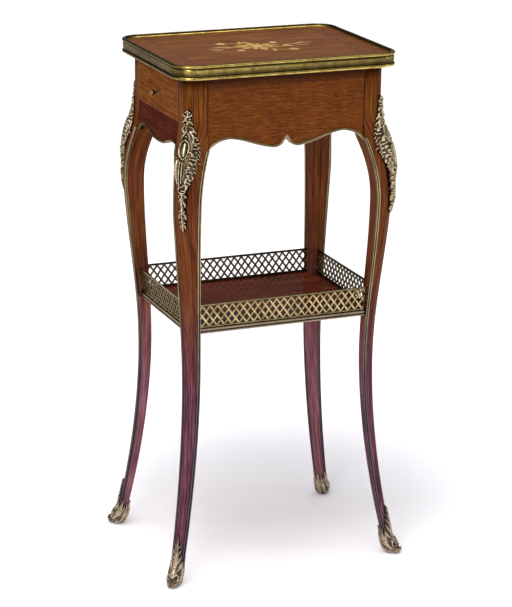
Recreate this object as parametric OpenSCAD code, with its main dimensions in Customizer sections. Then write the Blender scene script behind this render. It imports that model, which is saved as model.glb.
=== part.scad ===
// Occasional table on four cabriole legs, with an end drawer and a galleried shelf.
// Millimetres, +Z up, the floor at z = 0, the long side along X, the drawer in the -X end.

/* [Top] */
// Height of the top rim above the floor
table_height = 760; // [740:1:780]
// Length of the top over the rim
top_length = 334; // [326:1:344]
// Depth of the top over the rim
top_depth = 258; // [250:1:268]
// Height of the metal rim
rim_height = 20.5; // [19:0.5:23]
// Thickness of the rim at its lip
rim_wall = 5; // [4.5:0.5:6]
// Height of the rim's lip above the veneer
rim_lip = 4; // [3:0.5:5]
// Corner radius of the rim
rim_corner = 30; // [24:1:34]
// Depth of the hollow moulded into the rim
rim_cove = 2; // [1:0.2:2.4]
// Thickness of the top's veneers
veneer = 1; // [0.6:0.1:1.4]
// Width of the dark strings let into the veneers
string_width = 1.4; // [1:0.1:2]
// Width of the border veneer at the two ends
end_border = 34; // [28:1:38]
// Width of the border veneer along the two long sides
side_border = 29; // [24:1:32]
// Length of the inlaid flower spray
spray_length = 138; // [110:1:150]
// Depth of the inlaid flower spray
spray_depth = 106; // [90:1:116]
// How far the rim's pins lie from the middle of the long sides
rim_pin_out = 102; // [60:1:110]

/* [Case] */
// Length of the case over its faces
case_length = 299; // [293:1:305]
// Depth of the case over its faces
case_depth = 224; // [218:1:230]
// Side of the square post at the head of each leg
post_side = 31; // [29:1:33]
// Width of the flat cut off each post's outer corner, along one face
post_cant = 11; // [8:1:13]
// Thickness of the frieze boards
frieze_wall = 16; // [13:1:18]
// Height of the long friezes at their deepest point
frieze_deep = 105; // [98:1:108]
// Height of the end friezes at their deepest point
end_deep = 110.5; // [104:0.5:114]
// Rise of the scallops in the long friezes
scallop = 16.5; // [12:0.5:20]
// Rise of the scallops in the end friezes
end_scallop = 11; // [8:0.5:14]
// Thickness of the brass moulding under the friezes
trim_wall = 3.5; // [2.5:0.5:4.5]
// How far the brass mouldings stand out from the wood
trim_proud = 1.5; // [1:0.1:1.8]

/* [Legs] */
// How far below the rim the outer faces begin to swell
shoulder_drop = 63.5; // [50:0.5:75]
// How far the knee lies below the rim
knee_drop = 191.5; // [180:0.5:210]
// Height of the narrow waist
waist_height = 312; // [300:1:330]
// How far the knee swings out along X
knee_out_x = 17; // [14:0.5:19]
// How far the knee swings out along Y
knee_out_y = 21; // [16:0.5:22]
// How far the waist lies out along X
waist_out_x = 10; // [7:0.5:13]
// How far the waist lies out along Y
waist_out_y = 10.5; // [7:0.5:13]
// How far the foot swings out along X
foot_out_x = 48; // [42:0.5:54]
// How far the foot swings out along Y
foot_out_y = 39; // [34:0.5:48]
// Side of the leg at the knee
knee_side = 28.5; // [27:0.5:30]
// Side of the leg at the waist
waist_side = 18.5; // [17:0.5:20]
// Side of the leg at the floor
ankle_side = 12; // [11:0.5:14]
// Cant at the knee, at the waist and at the foot, each along one face
knee_cant = 15; // [12:0.5:16]
waist_cant = 9; // [7:0.5:10]
ankle_cant = 4; // [3:0.5:5]
// Width of the brass moulding along the leg's edges
edge_width = 2.5; // [1.8:0.1:3]

/* [Shelf and gallery] */
// Height of the shelf's surface above the floor
shelf_height = 379.5; // [360:0.5:400]
// Thickness of the shelf
shelf_wall = 7.5; // [7:0.5:9]
// How far the shelf's ends lie outside the legs' inner faces
shelf_out_x = 13.2; // [11:0.2:15]
// How far the shelf's long sides lie outside the legs' inner faces
shelf_out_y = 15.5; // [13:0.5:17]
// Height of the gallery above the shelf
gallery_height = 36; // [30:1:42]
// How far the gallery leans out, in degrees
gallery_flare = 5; // [0:1:6]
// Thickness of the gallery's pierced sheet
gallery_wall = 1.8; // [1.4:0.1:2.4]
// Width of one lozenge of the trellis
lozenge = 11.3; // [10:0.1:13]
// Width of the trellis bars
bar_width = 3; // [2.4:0.1:3.4]
// Height of the gallery's top rail and foot rail
rail_height = 3; // [2.5:0.1:4]

/* [Drawer] */
// Height of the drawer front
drawer_front_height = 65; // [58:1:66]
// Thickness of the drawer front
drawer_front_wall = 14; // [12:1:15]
// Thickness of the drawer's sides and back
drawer_wall = 7; // [6:0.5:9]
// Thickness of the drawer's bottom
drawer_floor = 4; // [3:0.5:5]
// Length of the drawer over all
drawer_length = 250; // [230:1:256]
// Height of the drawer's sides
drawer_side_height = 50; // [42:1:52]
// Height of the knob above the lower edge of the drawer front
knob_up = 26; // [20:1:40]
// Diameter of the knob's ball
knob_ball = 8; // [7:0.5:10]
// How far the knob stands out from the drawer front
knob_reach = 15; // [13:1:18]

/* [Mounts] */
// Thickness of the cast knee mounts
chute_wall = 2.6; // [2:0.1:3]
// How much further the middle of the knee mounts stands out
chute_relief = 1.4; // [1:0.1:2]
// How far the knee mounts begin below the rim
chute_drop = 42.5; // [39.5:1:47.5]
// Length of the knee mounts
chute_long = 170; // [162:1:178]
// Half the width of the knee mounts, across the leg's corner
chute_half = 16; // [13:0.5:17]
// Wall of the cast shoes
shoe_wall = 1.9; // [1.5:0.1:2.4]
// Height of the cuff of the shoes
cuff_height = 37; // [32:1:42]
// Height of the leaf that runs up the front of each shoe
shoe_leaf = 72; // [62:1:80]
// How far the toe reaches beyond the foot's outer corner
toe_reach = 9.5; // [8:0.5:12]
// Radius of the scrolled toe
toe_radius = 5; // [4:0.5:6]

/* [Fits] */
// Gap round the drawer
drawer_gap = 0.4; // [0.3:0.1:0.6]
// Gap round pins, screws, dowels and tenons
pin_gap = 0.1; // [0.05:0.05:0.2]
// Gap between the knee mounts and the mouldings beside them
mount_gap = 0.4; // [0.3:0.1:0.6]

/* [Hidden] */

veneer_top = table_height - rim_lip;
core_bottom = table_height - rim_height;
case_x = case_length / 2;
case_y = case_depth / 2;
post_x = case_x - post_side;
post_y = case_y - post_side;
frieze_low = core_bottom - frieze_deep;
end_low = core_bottom - end_deep;
spring_x = frieze_low + trim_wall;
spring_y = end_low + trim_wall;
shoulder_height = core_bottom - shoulder_drop;
knee_height = core_bottom - knee_drop;
chute_top = core_bottom - chute_drop;
chute_tip = chute_top - chute_long;
core_x = top_length / 2 - rim_wall;
core_y = top_depth / 2 - rim_wall;
core_corner = rim_corner - rim_wall;
field_x = core_x - end_border;
field_y = core_y - side_border;
drawer_y = post_y - drawer_gap;
drawer_base = core_bottom - drawer_gap - drawer_front_height;
runner_top = drawer_base - drawer_gap;
knob_z = drawer_base + knob_up;
tenon_long = 11;
tenon_wall = 7;
trellis_height = gallery_height - 2 * rail_height;
far = 400;
thin = 0.02;

wood_red = [0.45, 0.21, 0.11];
wood_tan = [0.58, 0.34, 0.16];
wood_plum = [0.36, 0.17, 0.15];
wood_pale = [0.72, 0.55, 0.33];
wood_dark = [0.16, 0.08, 0.06];
gilt = [0.62, 0.53, 0.27];

// Smooth curve through a list of points
function between(a, b, c, d, u) =
    0.5 * (2 * b + (c - a) * u + (2 * a - 5 * b + 4 * c - d) * u * u + (3 * b - a - 3 * c + d) * u * u * u);
function smooth(p, n) = [
    for (i = [0 : len(p) - 2])
        for (k = [0 : n - 1])
            between(p[max(i - 1, 0)], p[i], p[i + 1], p[min(i + 2, len(p) - 1)], k / n),
    p[len(p) - 1]
];
function backwards(p) = [for (i = [len(p) - 1 : -1 : 0]) p[i]];
function flip_x(p) = [for (q = backwards(p)) [-q[0], q[1]]];
function ease(t) = (1 - cos(180 * t)) / 2;

// How sharply the leg sweeps out at the foot, thickens towards the knee and swells from the shoulder
foot_power = 1.8;
side_power = 1.35;
swell_power = 1.5;
// Inner edge of a leg: how far it lies out from the post's inner face at height z
function inner_out(z, spring, knee, waist, foot) =
    z >= spring ? 0 :
    z >= knee_height ? knee * (1 - pow(1 - (spring - z) / (spring - knee_height), 2)) :
    z >= waist_height ? knee + (waist - knee) * ease((knee_height - z) / (knee_height - waist_height)) :
    waist + (foot - waist) * pow((waist_height - z) / waist_height, foot_power);
// Side of the leg's square section below the knee
function leg_side(z) =
    z >= waist_height
        ? waist_side + (knee_side - waist_side)
            * pow((z - waist_height) / (knee_height - waist_height), side_power)
        : waist_side + (ankle_side - waist_side) * (waist_height - z) / waist_height;
// Outer face of a leg, from the post's inner face
function outer_out(z, knee, waist, foot) =
    z >= shoulder_height ? post_side :
    z >= knee_height
        ? post_side + (knee + knee_side - post_side)
            * pow(sin(90 * (shoulder_height - z) / (shoulder_height - knee_height)), swell_power)
        : inner_out(z, knee_height, knee, waist, foot) + leg_side(z);
function inner_x(z) = post_x + inner_out(z, spring_x, knee_out_x, waist_out_x, foot_out_x);
function inner_y(z) = post_y + inner_out(z, spring_y, knee_out_y, waist_out_y, foot_out_y);
function outer_x(z) = post_x + outer_out(z, knee_out_x, waist_out_x, foot_out_x);
function outer_y(z) = post_y + outer_out(z, knee_out_y, waist_out_y, foot_out_y);
// Width of the cant along one face
function cant(z) =
    z >= shoulder_height ? post_cant :
    z >= knee_height
        ? post_cant + (knee_cant - post_cant) * ease((shoulder_height - z) / (shoulder_height - knee_height)) :
    z >= waist_height
        ? knee_cant + (waist_cant - knee_cant) * (knee_height - z) / (knee_height - waist_height)
        : waist_cant + (ankle_cant - waist_cant) * (waist_height - z) / waist_height;
// Place of the cant along the diagonal from the table's axis, and of its middle across that diagonal
function cant_out(z) = (outer_x(z) + outer_y(z) - cant(z)) / sqrt(2);
function cant_across(z) = (outer_y(z) - outer_x(z)) / sqrt(2);

// Heights at which a leg's curves are drawn: marks, with the number of steps above each
function steps_from(a, b, n) = [for (k = [0 : n - 1]) a + (b - a) * k / n];
leg_marks = [
    0, waist_height, knee_height, min(spring_x, spring_y), max(spring_x, spring_y), shoulder_height, core_bottom
];
leg_steps = [16, 9, 8, 1, 4, 1];
leg_heights = concat(
    [
        for (k = [0 : len(leg_steps) - 1])
            if (leg_marks[k + 1] > leg_marks[k])
                each steps_from(leg_marks[k], leg_marks[k + 1], leg_steps[k])
    ],
    [core_bottom]
);

// The table's corners: the left and right legs, front and back
module at_corner(sx, sy) {
    mirror([sx < 0 ? 1 : 0, 0, 0])
        mirror([0, sy < 0 ? 1 : 0, 0])
            children();
}

// A band that follows the leg, seen from the front: x from (inner + a) to (outer + b)
module band_x(a, b) {
    translate([0, far, 0])
        rotate([90, 0, 0])
            linear_extrude(far)
                polygon(concat(
                    [for (z = leg_heights) [inner_x(z) + a, z]],
                    backwards([for (z = leg_heights) [outer_x(z) + b, z]])
                ));
}
module band_y(a, b) {
    rotate([90, 0, 90])
        linear_extrude(far)
            polygon(concat(
                [for (z = leg_heights) [inner_y(z) + a, z]],
                backwards([for (z = leg_heights) [outer_y(z) + b, z]])
            ));
}
// Everything inside the cant, moved out by a
module cant_side(a) {
    rotate([0, 0, 45])
        translate([0, far / 2, 0])
            rotate([90, 0, 0])
                linear_extrude(far)
                    polygon(concat(
                        [[0, leg_heights[0]]],
                        [for (z = leg_heights) [cant_out(z) + a, z]],
                        [[0, core_bottom]]
                    ));
}
module leg_form(out_by) {
    intersection() {
        band_x(-out_by, out_by);
        band_y(-out_by, out_by);
        cant_side(out_by);
    }
}
module block(x, y, z) {
    translate([x[0], y[0], z[0]])
        cube([x[1] - x[0], y[1] - y[0], z[1] - z[0]]);
}

// Scalloped lower edges of the friezes, from the middle to the post: [share of the half length, rise]
long_scallop = [
    [0, 0.8], [0.03, 0.44], [0.07, 0.16], [0.17, 0], [0.37, 0.33],
    [0.55, 0.76], [0.71, 1], [0.84, 0.84], [0.93, 0.48], [1, 0]
];
short_scallop = [[0, 0], [0.28, 0.16], [0.5, 0.68], [0.7, 1], [0.86, 0.9], [0.95, 0.5], [1, 0]];
function scallop_line(p, half, low, rise) = [for (q = smooth(p, 4)) [q[0] * half, low + q[1] * rise]];
function both_sides(p) = concat(flip_x([for (i = [1 : len(p) - 1]) p[i]]), p);
long_line = both_sides(scallop_line(long_scallop, post_x, frieze_low, scallop));
short_line = both_sides(scallop_line(short_scallop, post_y, end_low, end_scallop));
function raised(p, dz) = [for (q = p) [q[0], q[1] + dz]];

// A frieze board standing along X with its outer face at y = 0, its scallops below
module frieze_board(line, half, reach) {
    rotate([90, 0, 180])
        linear_extrude(frieze_wall)
            polygon(concat(raised(line, trim_wall), [[half, core_bottom], [-half, core_bottom]]));
    for (s = [-1, 1])
        block(
            s < 0 ? [-half - tenon_long, -half] : [half, half + tenon_long],
            [(frieze_wall - tenon_wall) / 2, (frieze_wall + tenon_wall) / 2],
            [reach[0], reach[1]]
        );
}
tenon_up = 30;
tenon_down = 12;
rail_tenon_up = 16;
rail_tenon_down = 6;
tenon_span = [frieze_low + tenon_up, core_bottom - tenon_down];
rail_span = [end_low + rail_tenon_up, runner_top - rail_tenon_down];
// Mortise in the post for a tenon, in the frame of the corner at +X, +Y
module mortise_x(span) {
    block(
        [post_x - 1, post_x + tenon_long + pin_gap],
        [case_y - (frieze_wall + tenon_wall) / 2 - pin_gap, case_y - (frieze_wall - tenon_wall) / 2 + pin_gap],
        [span[0] - pin_gap, span[1] + pin_gap]
    );
}
module mortise_y(span) {
    block(
        [case_x - (frieze_wall + tenon_wall) / 2 - pin_gap, case_x - (frieze_wall - tenon_wall) / 2 + pin_gap],
        [post_y - 1, post_y + tenon_long + pin_gap],
        [span[0] - pin_gap, span[1] + pin_gap]
    );
}

// Pins that hold the knee mount and the shoe: height, and what they pass through
chute_pins = [0.12, 0.86];
shoe_pin_drop = 12;
mount_pins_at = concat(
    [for (share = chute_pins) [chute_top - share * chute_long, chute_wall + chute_relief]],
    [[shoe_leaf - shoe_pin_drop, shoe_wall]]
);
pin_r = 0.8;
pin_head_r = 1.5;
pin_head = 0.9;
pin_bite = 5;
// The mounts slope under the round heads, which stand this much further out
pin_lift = 0.3;
hole_past = 5;
module diagonal_pin(z, from_r, to_r, r) {
    rotate([0, 0, 45])
        translate([from_r, cant_across(z), z])
            rotate([0, 90, 0])
                cylinder(h = to_r - from_r, r = r, $fn = 32);
}
module mount_pin_holes() {
    for (p = mount_pins_at)
        diagonal_pin(
            p[0], cant_out(p[0]) - pin_bite - pin_gap, cant_out(p[0]) + p[1] + hole_past, pin_r + pin_gap
        );
}

// Dowels that hold the shelf to the inner corners of the legs
dowel_r = 2;
dowel_long = 18;
shelf_middle = shelf_height - shelf_wall / 2;
dowel_mid = (inner_x(shelf_middle) + inner_y(shelf_middle)) / sqrt(2);
dowel_across = (inner_y(shelf_middle) - inner_x(shelf_middle)) / sqrt(2);
module shelf_dowel(gap) {
    rotate([0, 0, 45])
        translate([dowel_mid - dowel_long / 2 - gap, dowel_across, shelf_middle])
            rotate([0, 90, 0])
                cylinder(h = dowel_long + 2 * gap, r = dowel_r + gap, $fn = 32);
}

// The leg's wood ends this high, on the solid foot of the shoe
leg_foot = 16;
module leg(sx, sy) {
    color(wood_plum)
        at_corner(sx, sy)
            difference() {
                leg_form(0);
                block([0, far], [0, far], [-1, leg_foot]);
                mortise_x(tenon_span);
                mortise_y(sx < 0 ? rail_span : tenon_span);
                mount_pin_holes();
                shelf_dowel(pin_gap);
            }
}

// Rounded plate for the top
module plate(hx, hy, r, z0, z1) {
    translate([0, 0, z0])
        linear_extrude(z1 - z0)
            union() {
                square([2 * hx, 2 * (hy - r)], center = true);
                square([2 * (hx - r), 2 * hy], center = true);
                for (x = [-1, 1], y = [-1, 1])
                    translate([x * (hx - r), y * (hy - r)])
                        circle(r, $fn = 96);
            }
}

// Screws through the kickers into the top
screw_r = 1.8;
screw_head_r = 3.6;
screw_head = 1.6;
screw_share = 0.7;
kicker_wall = 11;
kicker_low = core_bottom - kicker_wall;
kicker_in = 18;
kicker_y = case_y - frieze_wall;
screw_bite = 9;
module at_screws() {
    for (x = [-1, 0, 1], s = [-1, 1])
        translate([x * screw_share * post_x, s * (kicker_y - kicker_in / 2), kicker_low])
            children();
}

// Pins that hold the rim: four through the long sides and one through the middle of each end
rim_pin_share = 0.42;
rim_pin_z = core_bottom + rim_height * rim_pin_share;
rim_pin_long = 12;
module rim_pin(gap, head) {
    translate([-rim_pin_long - gap, 0, 0])
        rotate([0, 90, 0])
            cylinder(h = rim_pin_long + gap + (head ? 0 : rim_cove + 1), r = pin_r + gap, $fn = 24);
    if (head)
        rotate([0, 90, 0])
            cylinder(h = pin_head, r1 = pin_head_r, r2 = pin_head_r * 0.6, $fn = 24);
}
module at_rim_pins() {
    for (x = [-rim_pin_out, rim_pin_out], s = [-1, 1])
        translate([x, s * (top_depth / 2 - rim_cove), rim_pin_z])
            rotate([0, 0, s * 90])
                children();
    for (s = [-1, 1])
        translate([s * (top_length / 2 - rim_cove), 0, rim_pin_z])
            rotate([0, 0, s < 0 ? 180 : 0])
                children();
}

module top_core() {
    color(wood_pale)
        difference() {
            plate(core_x, core_y, core_corner, core_bottom, veneer_top - veneer);
            at_screws()
                cylinder(h = kicker_wall + screw_bite + pin_gap, r = screw_r + pin_gap, $fn = 32);
            at_rim_pins()
                rim_pin(pin_gap, false);
        }
}
module field_veneer() {
    color(wood_red)
        difference() {
            block([-field_x, field_x], [-field_y, field_y], [veneer_top - veneer, veneer_top]);
            spray_solid(veneer_top - veneer - 1, veneer_top + 1);
        }
}
module border_veneers() {
    color(wood_tan)
        difference() {
            plate(core_x, core_y, core_corner, veneer_top - veneer, veneer_top);
            block(
                [-field_x - string_width, field_x + string_width],
                [-field_y - string_width, field_y + string_width],
                [veneer_top - veneer - 1, veneer_top + 1]
            );
        }
}
module top_stringing() {
    color(wood_dark)
        difference() {
            block(
                [-field_x - string_width, field_x + string_width],
                [-field_y - string_width, field_y + string_width],
                [veneer_top - veneer, veneer_top]
            );
            block([-field_x, field_x], [-field_y, field_y], [veneer_top - veneer - 1, veneer_top + 1]);
        }
}

// A leaf with pointed ends, from the origin along +X
module leaf(long, wide) {
    r = (long * long / 4 + wide * wide / 4) / wide;
    translate([long / 2, 0])
        intersection() {
            translate([0, wide / 2 - r])
                circle(r, $fn = 72);
            translate([0, r - wide / 2])
                circle(r, $fn = 72);
        }
}
// A five-petalled flower
module flower(r) {
    circle(r * 0.42, $fn = 24);
    for (a = [0 : 72 : 288])
        rotate(a)
            translate([r * 0.6, 0])
                circle(r * 0.4, $fn = 24);
}
// The inlaid spray, drawn in shares of its half length and half depth: three stems that meet in the
// middle, flowers [place, share of the largest] and leaves [place, direction, share of the longest]
stems = [
    [[-0.88, -0.16], [-0.45, 0.14], [0, 0], [0.45, -0.18], [0.9, 0.12]],
    [[0, 0], [-0.16, 0.36], [-0.4, 0.58], [-0.62, 0.6]],
    [[0, 0], [0.18, -0.38], [0.4, -0.62], [0.62, -0.64]]
];
spray_flowers = [[0, 0, 1], [-0.62, 0.62, 0.77], [0.62, -0.66, 0.77], [0.48, 0.4, 0.64], [-0.48, -0.42, 0.64]];
spray_leaves = [
    [-0.55, 0.1, 160, 0.88], [-0.5, 0.1, 205, 0.72], [-0.24, 0.44, 75, 0.8], [-0.16, 0.3, 20, 0.76],
    [0.5, -0.16, 350, 0.8], [0.52, -0.14, 30, 0.8], [0.24, -0.44, 255, 0.8], [0.16, -0.34, 200, 0.76],
    [-0.3, 0.1, 265, 0.76], [0.3, -0.1, 85, 0.76], [-0.02, 0.16, 96, 1], [0.02, -0.16, 276, 1]
];
stem_width = 1.8;
flower_r = 11;
leaf_long = 25;
leaf_shape = 0.36;
module spray_outline() {
    size = [spray_length / 2, spray_depth / 2];
    for (s = stems) {
        line = [for (q = smooth(s, 6)) [q[0] * size[0], q[1] * size[1]]];
        polygon([
            for (q = line) q + [0, stem_width / 2],
            for (q = backwards(line)) q - [0, stem_width / 2]
        ]);
    }
    for (q = spray_flowers)
        translate([q[0] * size[0], q[1] * size[1]])
            flower(q[2] * flower_r);
    for (q = spray_leaves)
        translate([q[0] * size[0], q[1] * size[1]])
            rotate(q[2])
                leaf(q[3] * leaf_long, q[3] * leaf_long * leaf_shape);
}
module spray_solid(z0, z1) {
    translate([0, 0, z0])
        linear_extrude(z1 - z0)
            spray_outline();
}
module flower_spray() {
    color(wood_pale)
        spray_solid(veneer_top - veneer, veneer_top);
}

// Section of the rim, outwards from the wood: lip, hollow and lower bead
function arc(cx, cz, r, a0, a1, n) = [for (k = [0 : n]) [cx + r * cos(a0 + (a1 - a0) * k / n),
                                                         cz + r * sin(a0 + (a1 - a0) * k / n)]];
bead = 2;
lip_bead = 1.6;
bead_step = 1.2;
lip_step = 2;
cove_sag = 0.4;
lip_bevel = 1;
rim_section = concat(
    [[0, 0]],
    arc(rim_wall - bead, bead, bead, -90, 70, 5),
    [[rim_wall - rim_cove, bead * 2 + bead_step]],
    [[rim_wall - rim_cove - cove_sag, rim_height * 0.5]],
    [[rim_wall - rim_cove, rim_height - lip_bead * 2 - lip_step]],
    arc(rim_wall - lip_bead, rim_height - lip_bead, lip_bead, -60, 90, 5),
    [[lip_bevel, rim_height]],
    [[0, rim_height - lip_bevel]]
);
// A straight length of rim along X, its wood face at y = 0 and its show face towards +Y
module rim_length(x0, x1) {
    translate([x0, 0, core_bottom])
        rotate([90, 0, 90])
            linear_extrude(x1 - x0)
                polygon(rim_section);
}
module rim_turn() {
    translate([core_x - core_corner, core_y - core_corner, core_bottom])
        rotate_extrude(angle = 90, $fn = 96)
            translate([core_corner, 0])
                polygon(rim_section);
}
module rim_half() {
    difference() {
        union() {
            for (s = [0, 1])
                mirror([0, s, 0]) {
                    translate([0, core_y, 0])
                        rim_length(0, core_x - core_corner);
                    rim_turn();
                }
            translate([core_x, 0, 0])
                rotate([0, 0, -90])
                    rim_length(-(core_y - core_corner), core_y - core_corner);
        }
        at_rim_pins()
            rim_pin(pin_gap, false);
    }
}
module rim_left_half() {
    color(gilt)
        mirror([1, 0, 0])
            rim_half();
}
module rim_right_half() {
    color(gilt)
        rim_half();
}
module rim_pins() {
    color(gilt)
        at_rim_pins()
            rim_pin(0, true);
}

module frieze_front() {
    color(wood_red)
        translate([0, -case_y, 0])
            difference() {
                frieze_board(long_line, post_x, tenon_span);
                strings_x();
            }
}
module frieze_back() {
    color(wood_red)
        mirror([0, 1, 0])
            translate([0, -case_y, 0])
                difference() {
                    frieze_board(long_line, post_x, tenon_span);
                    strings_x();
                }
}
module frieze_right() {
    color(wood_red)
        translate([case_x, 0, 0])
            rotate([0, 0, 90])
                difference() {
                    frieze_board(short_line, post_y, tenon_span);
                    strings_y();
                }
}
// Dark strings let into the boards beside the posts
string_deep = 1;
string_lift = 1.5;
module string_pair(half, low) {
    for (s = [-1, 1])
        block(
            s < 0 ? [-half, -half + string_width] : [half - string_width, half],
            [0, string_deep],
            [low, core_bottom]
        );
}
module strings_x() {
    string_pair(post_x, spring_x + string_lift);
}
module strings_y() {
    string_pair(post_y, spring_y + string_lift);
}
module panel_stringing() {
    color(wood_dark) {
        for (s = [0, 1])
            mirror([0, s, 0])
                translate([0, -case_y, 0])
                    intersection() {
                        strings_x();
                        frieze_board(long_line, post_x, tenon_span);
                    }
        translate([case_x, 0, 0])
            rotate([0, 0, 90])
                intersection() {
                    strings_y();
                    frieze_board(short_line, post_y, tenon_span);
                }
    }
}
// The rail under the drawer, scalloped below like the other end
module drawer_rail() {
    color(wood_plum)
        translate([-case_x, 0, 0])
            rotate([0, 0, -90])
                intersection() {
                    frieze_board(short_line, post_y, rail_span);
                    block([-far, far], [-1, frieze_wall + 1], [0, runner_top]);
                }
}

runner_wall = 9;
runner_in = 22;
guide_high = 16;
module runner(s) {
    color(wood_pale)
        mirror([0, s < 0 ? 1 : 0, 0])
            block([-post_x, post_x], [kicker_y - runner_in, kicker_y], [runner_top - runner_wall, runner_top]);
}
module guide(s) {
    color(wood_pale)
        mirror([0, s < 0 ? 1 : 0, 0])
            block([-post_x, post_x], [drawer_y + drawer_gap, kicker_y], [runner_top, runner_top + guide_high]);
}
module kicker(s) {
    color(wood_pale)
        difference() {
            mirror([0, s < 0 ? 1 : 0, 0])
                block([-post_x, post_x], [kicker_y - kicker_in, kicker_y], [kicker_low, core_bottom]);
            at_screws()
                translate([0, 0, -1])
                    cylinder(h = kicker_wall + 2, r = screw_r + pin_gap, $fn = 32);
        }
}
module top_screws() {
    color("dimgray")
        at_screws() {
            translate([0, 0, -screw_head])
                cylinder(h = screw_head, r = screw_head_r, $fn = 32);
            cylinder(h = kicker_wall + screw_bite, r = screw_r, $fn = 32);
        }
}
drawer_end = -case_x + drawer_length;
stop_in = 14;
stop_wide = 20;
stop_up = 4;
stop_high = 18;
module drawer_stops() {
    color(wood_pale)
        for (s = [0, 1])
            mirror([0, s, 0])
                block(
                    [drawer_end + drawer_gap, case_x - frieze_wall],
                    [drawer_y - stop_in - stop_wide, drawer_y - stop_in],
                    [runner_top + stop_up, runner_top + stop_up + stop_high]
                );
}

// The drawer
box_front = -case_x + drawer_front_wall;
side_y = drawer_y - drawer_wall;
side_top = drawer_base + drawer_side_height;
groove_up = 5;
groove_z = drawer_base + groove_up;
groove_deep = 3;
knob_hole = 2;
module drawer_front() {
    color(wood_tan)
        difference() {
            block([-case_x, box_front], [-drawer_y, drawer_y], [drawer_base, drawer_base + drawer_front_height]);
            translate([-case_x - 1, 0, knob_z])
                rotate([0, 90, 0])
                    cylinder(h = drawer_front_wall + 2, r = knob_hole + pin_gap, $fn = 32);
            drawer_panel(pin_gap);
        }
}
module drawer_panel(gap) {
    block(
        [box_front - groove_deep - gap, drawer_end - drawer_wall + groove_deep + gap],
        [-side_y - groove_deep - gap, side_y + groove_deep + gap],
        [groove_z - gap, groove_z + drawer_floor + gap]
    );
}
module drawer_side(s) {
    color(wood_pale)
        difference() {
            mirror([0, s < 0 ? 1 : 0, 0])
                block([box_front, drawer_end], [side_y, drawer_y], [drawer_base, side_top]);
            drawer_panel(pin_gap);
        }
}
module drawer_back() {
    color(wood_pale)
        difference() {
            block([drawer_end - drawer_wall, drawer_end], [-side_y, side_y], [drawer_base, side_top]);
            drawer_panel(pin_gap);
        }
}
module drawer_bottom() {
    color(wood_pale)
        drawer_panel(0);
}
// Turned knob on a stem that passes through the drawer front
knob_disc_r = 4.6;
knob_disc = 1.6;
knob_neck = [2.4, 1.5];
nut_wall = 2.5;
nut_r = 4.2;
stem_past = 1;
module drawer_knob() {
    color(gilt)
        translate([-case_x, 0, knob_z])
            rotate([0, -90, 0]) {
                cylinder(h = knob_disc, r1 = knob_disc_r, r2 = knob_disc_r - knob_disc / 2, $fn = 48);
                cylinder(h = knob_reach - knob_ball / 2, r1 = knob_neck[0], r2 = knob_neck[1], $fn = 48);
                translate([0, 0, knob_reach - knob_ball / 2])
                    sphere(knob_ball / 2, $fn = 48);
                translate([0, 0, -drawer_front_wall - nut_wall - stem_past])
                    cylinder(h = drawer_front_wall + nut_wall + stem_past + thin, r = knob_hole, $fn = 48);
            }
}
module knob_nut() {
    color(gilt)
        translate([box_front, 0, knob_z])
            rotate([0, 90, 0])
                difference() {
                    cylinder(h = nut_wall, r = nut_r, $fn = 6);
                    translate([0, 0, -1])
                        cylinder(h = nut_wall + 2, r = knob_hole + pin_gap, $fn = 48);
                }
}

// Brass moulding under a frieze, its outer face towards -Y and the wood's face at y = 0
trim_deep = 6;
module apron_trim(line) {
    translate([0, trim_deep, 0])
        rotate([90, 0, 0])
            linear_extrude(trim_deep + trim_proud)
                polygon(concat(line, backwards(raised(line, trim_wall))));
}
module apron_trim_front() {
    color(gilt)
        translate([0, -case_y, 0])
            apron_trim(long_line);
}
module apron_trim_back() {
    color(gilt)
        mirror([0, 1, 0])
            translate([0, -case_y, 0])
                apron_trim(long_line);
}
module apron_trim_left() {
    color(gilt)
        translate([-case_x, 0, 0])
            rotate([0, 0, -90])
                apron_trim(short_line);
}
module apron_trim_right() {
    color(gilt)
        translate([case_x, 0, 0])
            rotate([0, 0, 90])
                apron_trim(short_line);
}

// Bands along the leg's inner edge and along its outer face, each from a to b past that line
module inner_band_x(a, b) {
    translate([0, far, 0])
        rotate([90, 0, 0])
            linear_extrude(far)
                polygon(concat(
                    [for (z = leg_heights) [inner_x(z) + a, z]],
                    backwards([for (z = leg_heights) [inner_x(z) + b, z]])
                ));
}
module inner_band_y(a, b) {
    rotate([90, 0, 90])
        linear_extrude(far)
            polygon(concat(
                [for (z = leg_heights) [inner_y(z) + a, z]],
                backwards([for (z = leg_heights) [inner_y(z) + b, z]])
            ));
}
module outer_band_x(a, b) {
    translate([0, far, 0])
        rotate([90, 0, 0])
            linear_extrude(far)
                polygon(concat(
                    [for (z = leg_heights) [outer_x(z) + a, z]],
                    backwards([for (z = leg_heights) [outer_x(z) + b, z]])
                ));
}
module outer_band_y(a, b) {
    rotate([90, 0, 90])
        linear_extrude(far)
            polygon(concat(
                [for (z = leg_heights) [outer_y(z) + a, z]],
                backwards([for (z = leg_heights) [outer_y(z) + b, z]])
            ));
}
// Brass mouldings on the two inner edges of a leg: one on the long side, one on the end.
// Each ends under the moulding of the frieze beside it.
module edge_trim(sx, sy) {
    color(gilt)
        at_corner(sx, sy)
            difference() {
                union() {
                    difference() {
                        intersection() {
                            inner_band_x(-trim_proud, edge_width);
                            outer_band_y(-edge_width, trim_proud);
                        }
                        block([0, post_x], [0, far], [frieze_low, far * 3]);
                        block([0, far], [0, far], [spring_x, far * 3]);
                    }
                    difference() {
                        intersection() {
                            inner_band_y(-trim_proud, edge_width);
                            outer_band_x(-edge_width, trim_proud);
                        }
                        block([0, far], [0, post_y], [end_low, far * 3]);
                        block([0, far], [0, far], [spring_y, far * 3]);
                    }
                }
                leg_form(0);
                block([0, far], [0, far], [-1, cuff_height]);
            }
}

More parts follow.
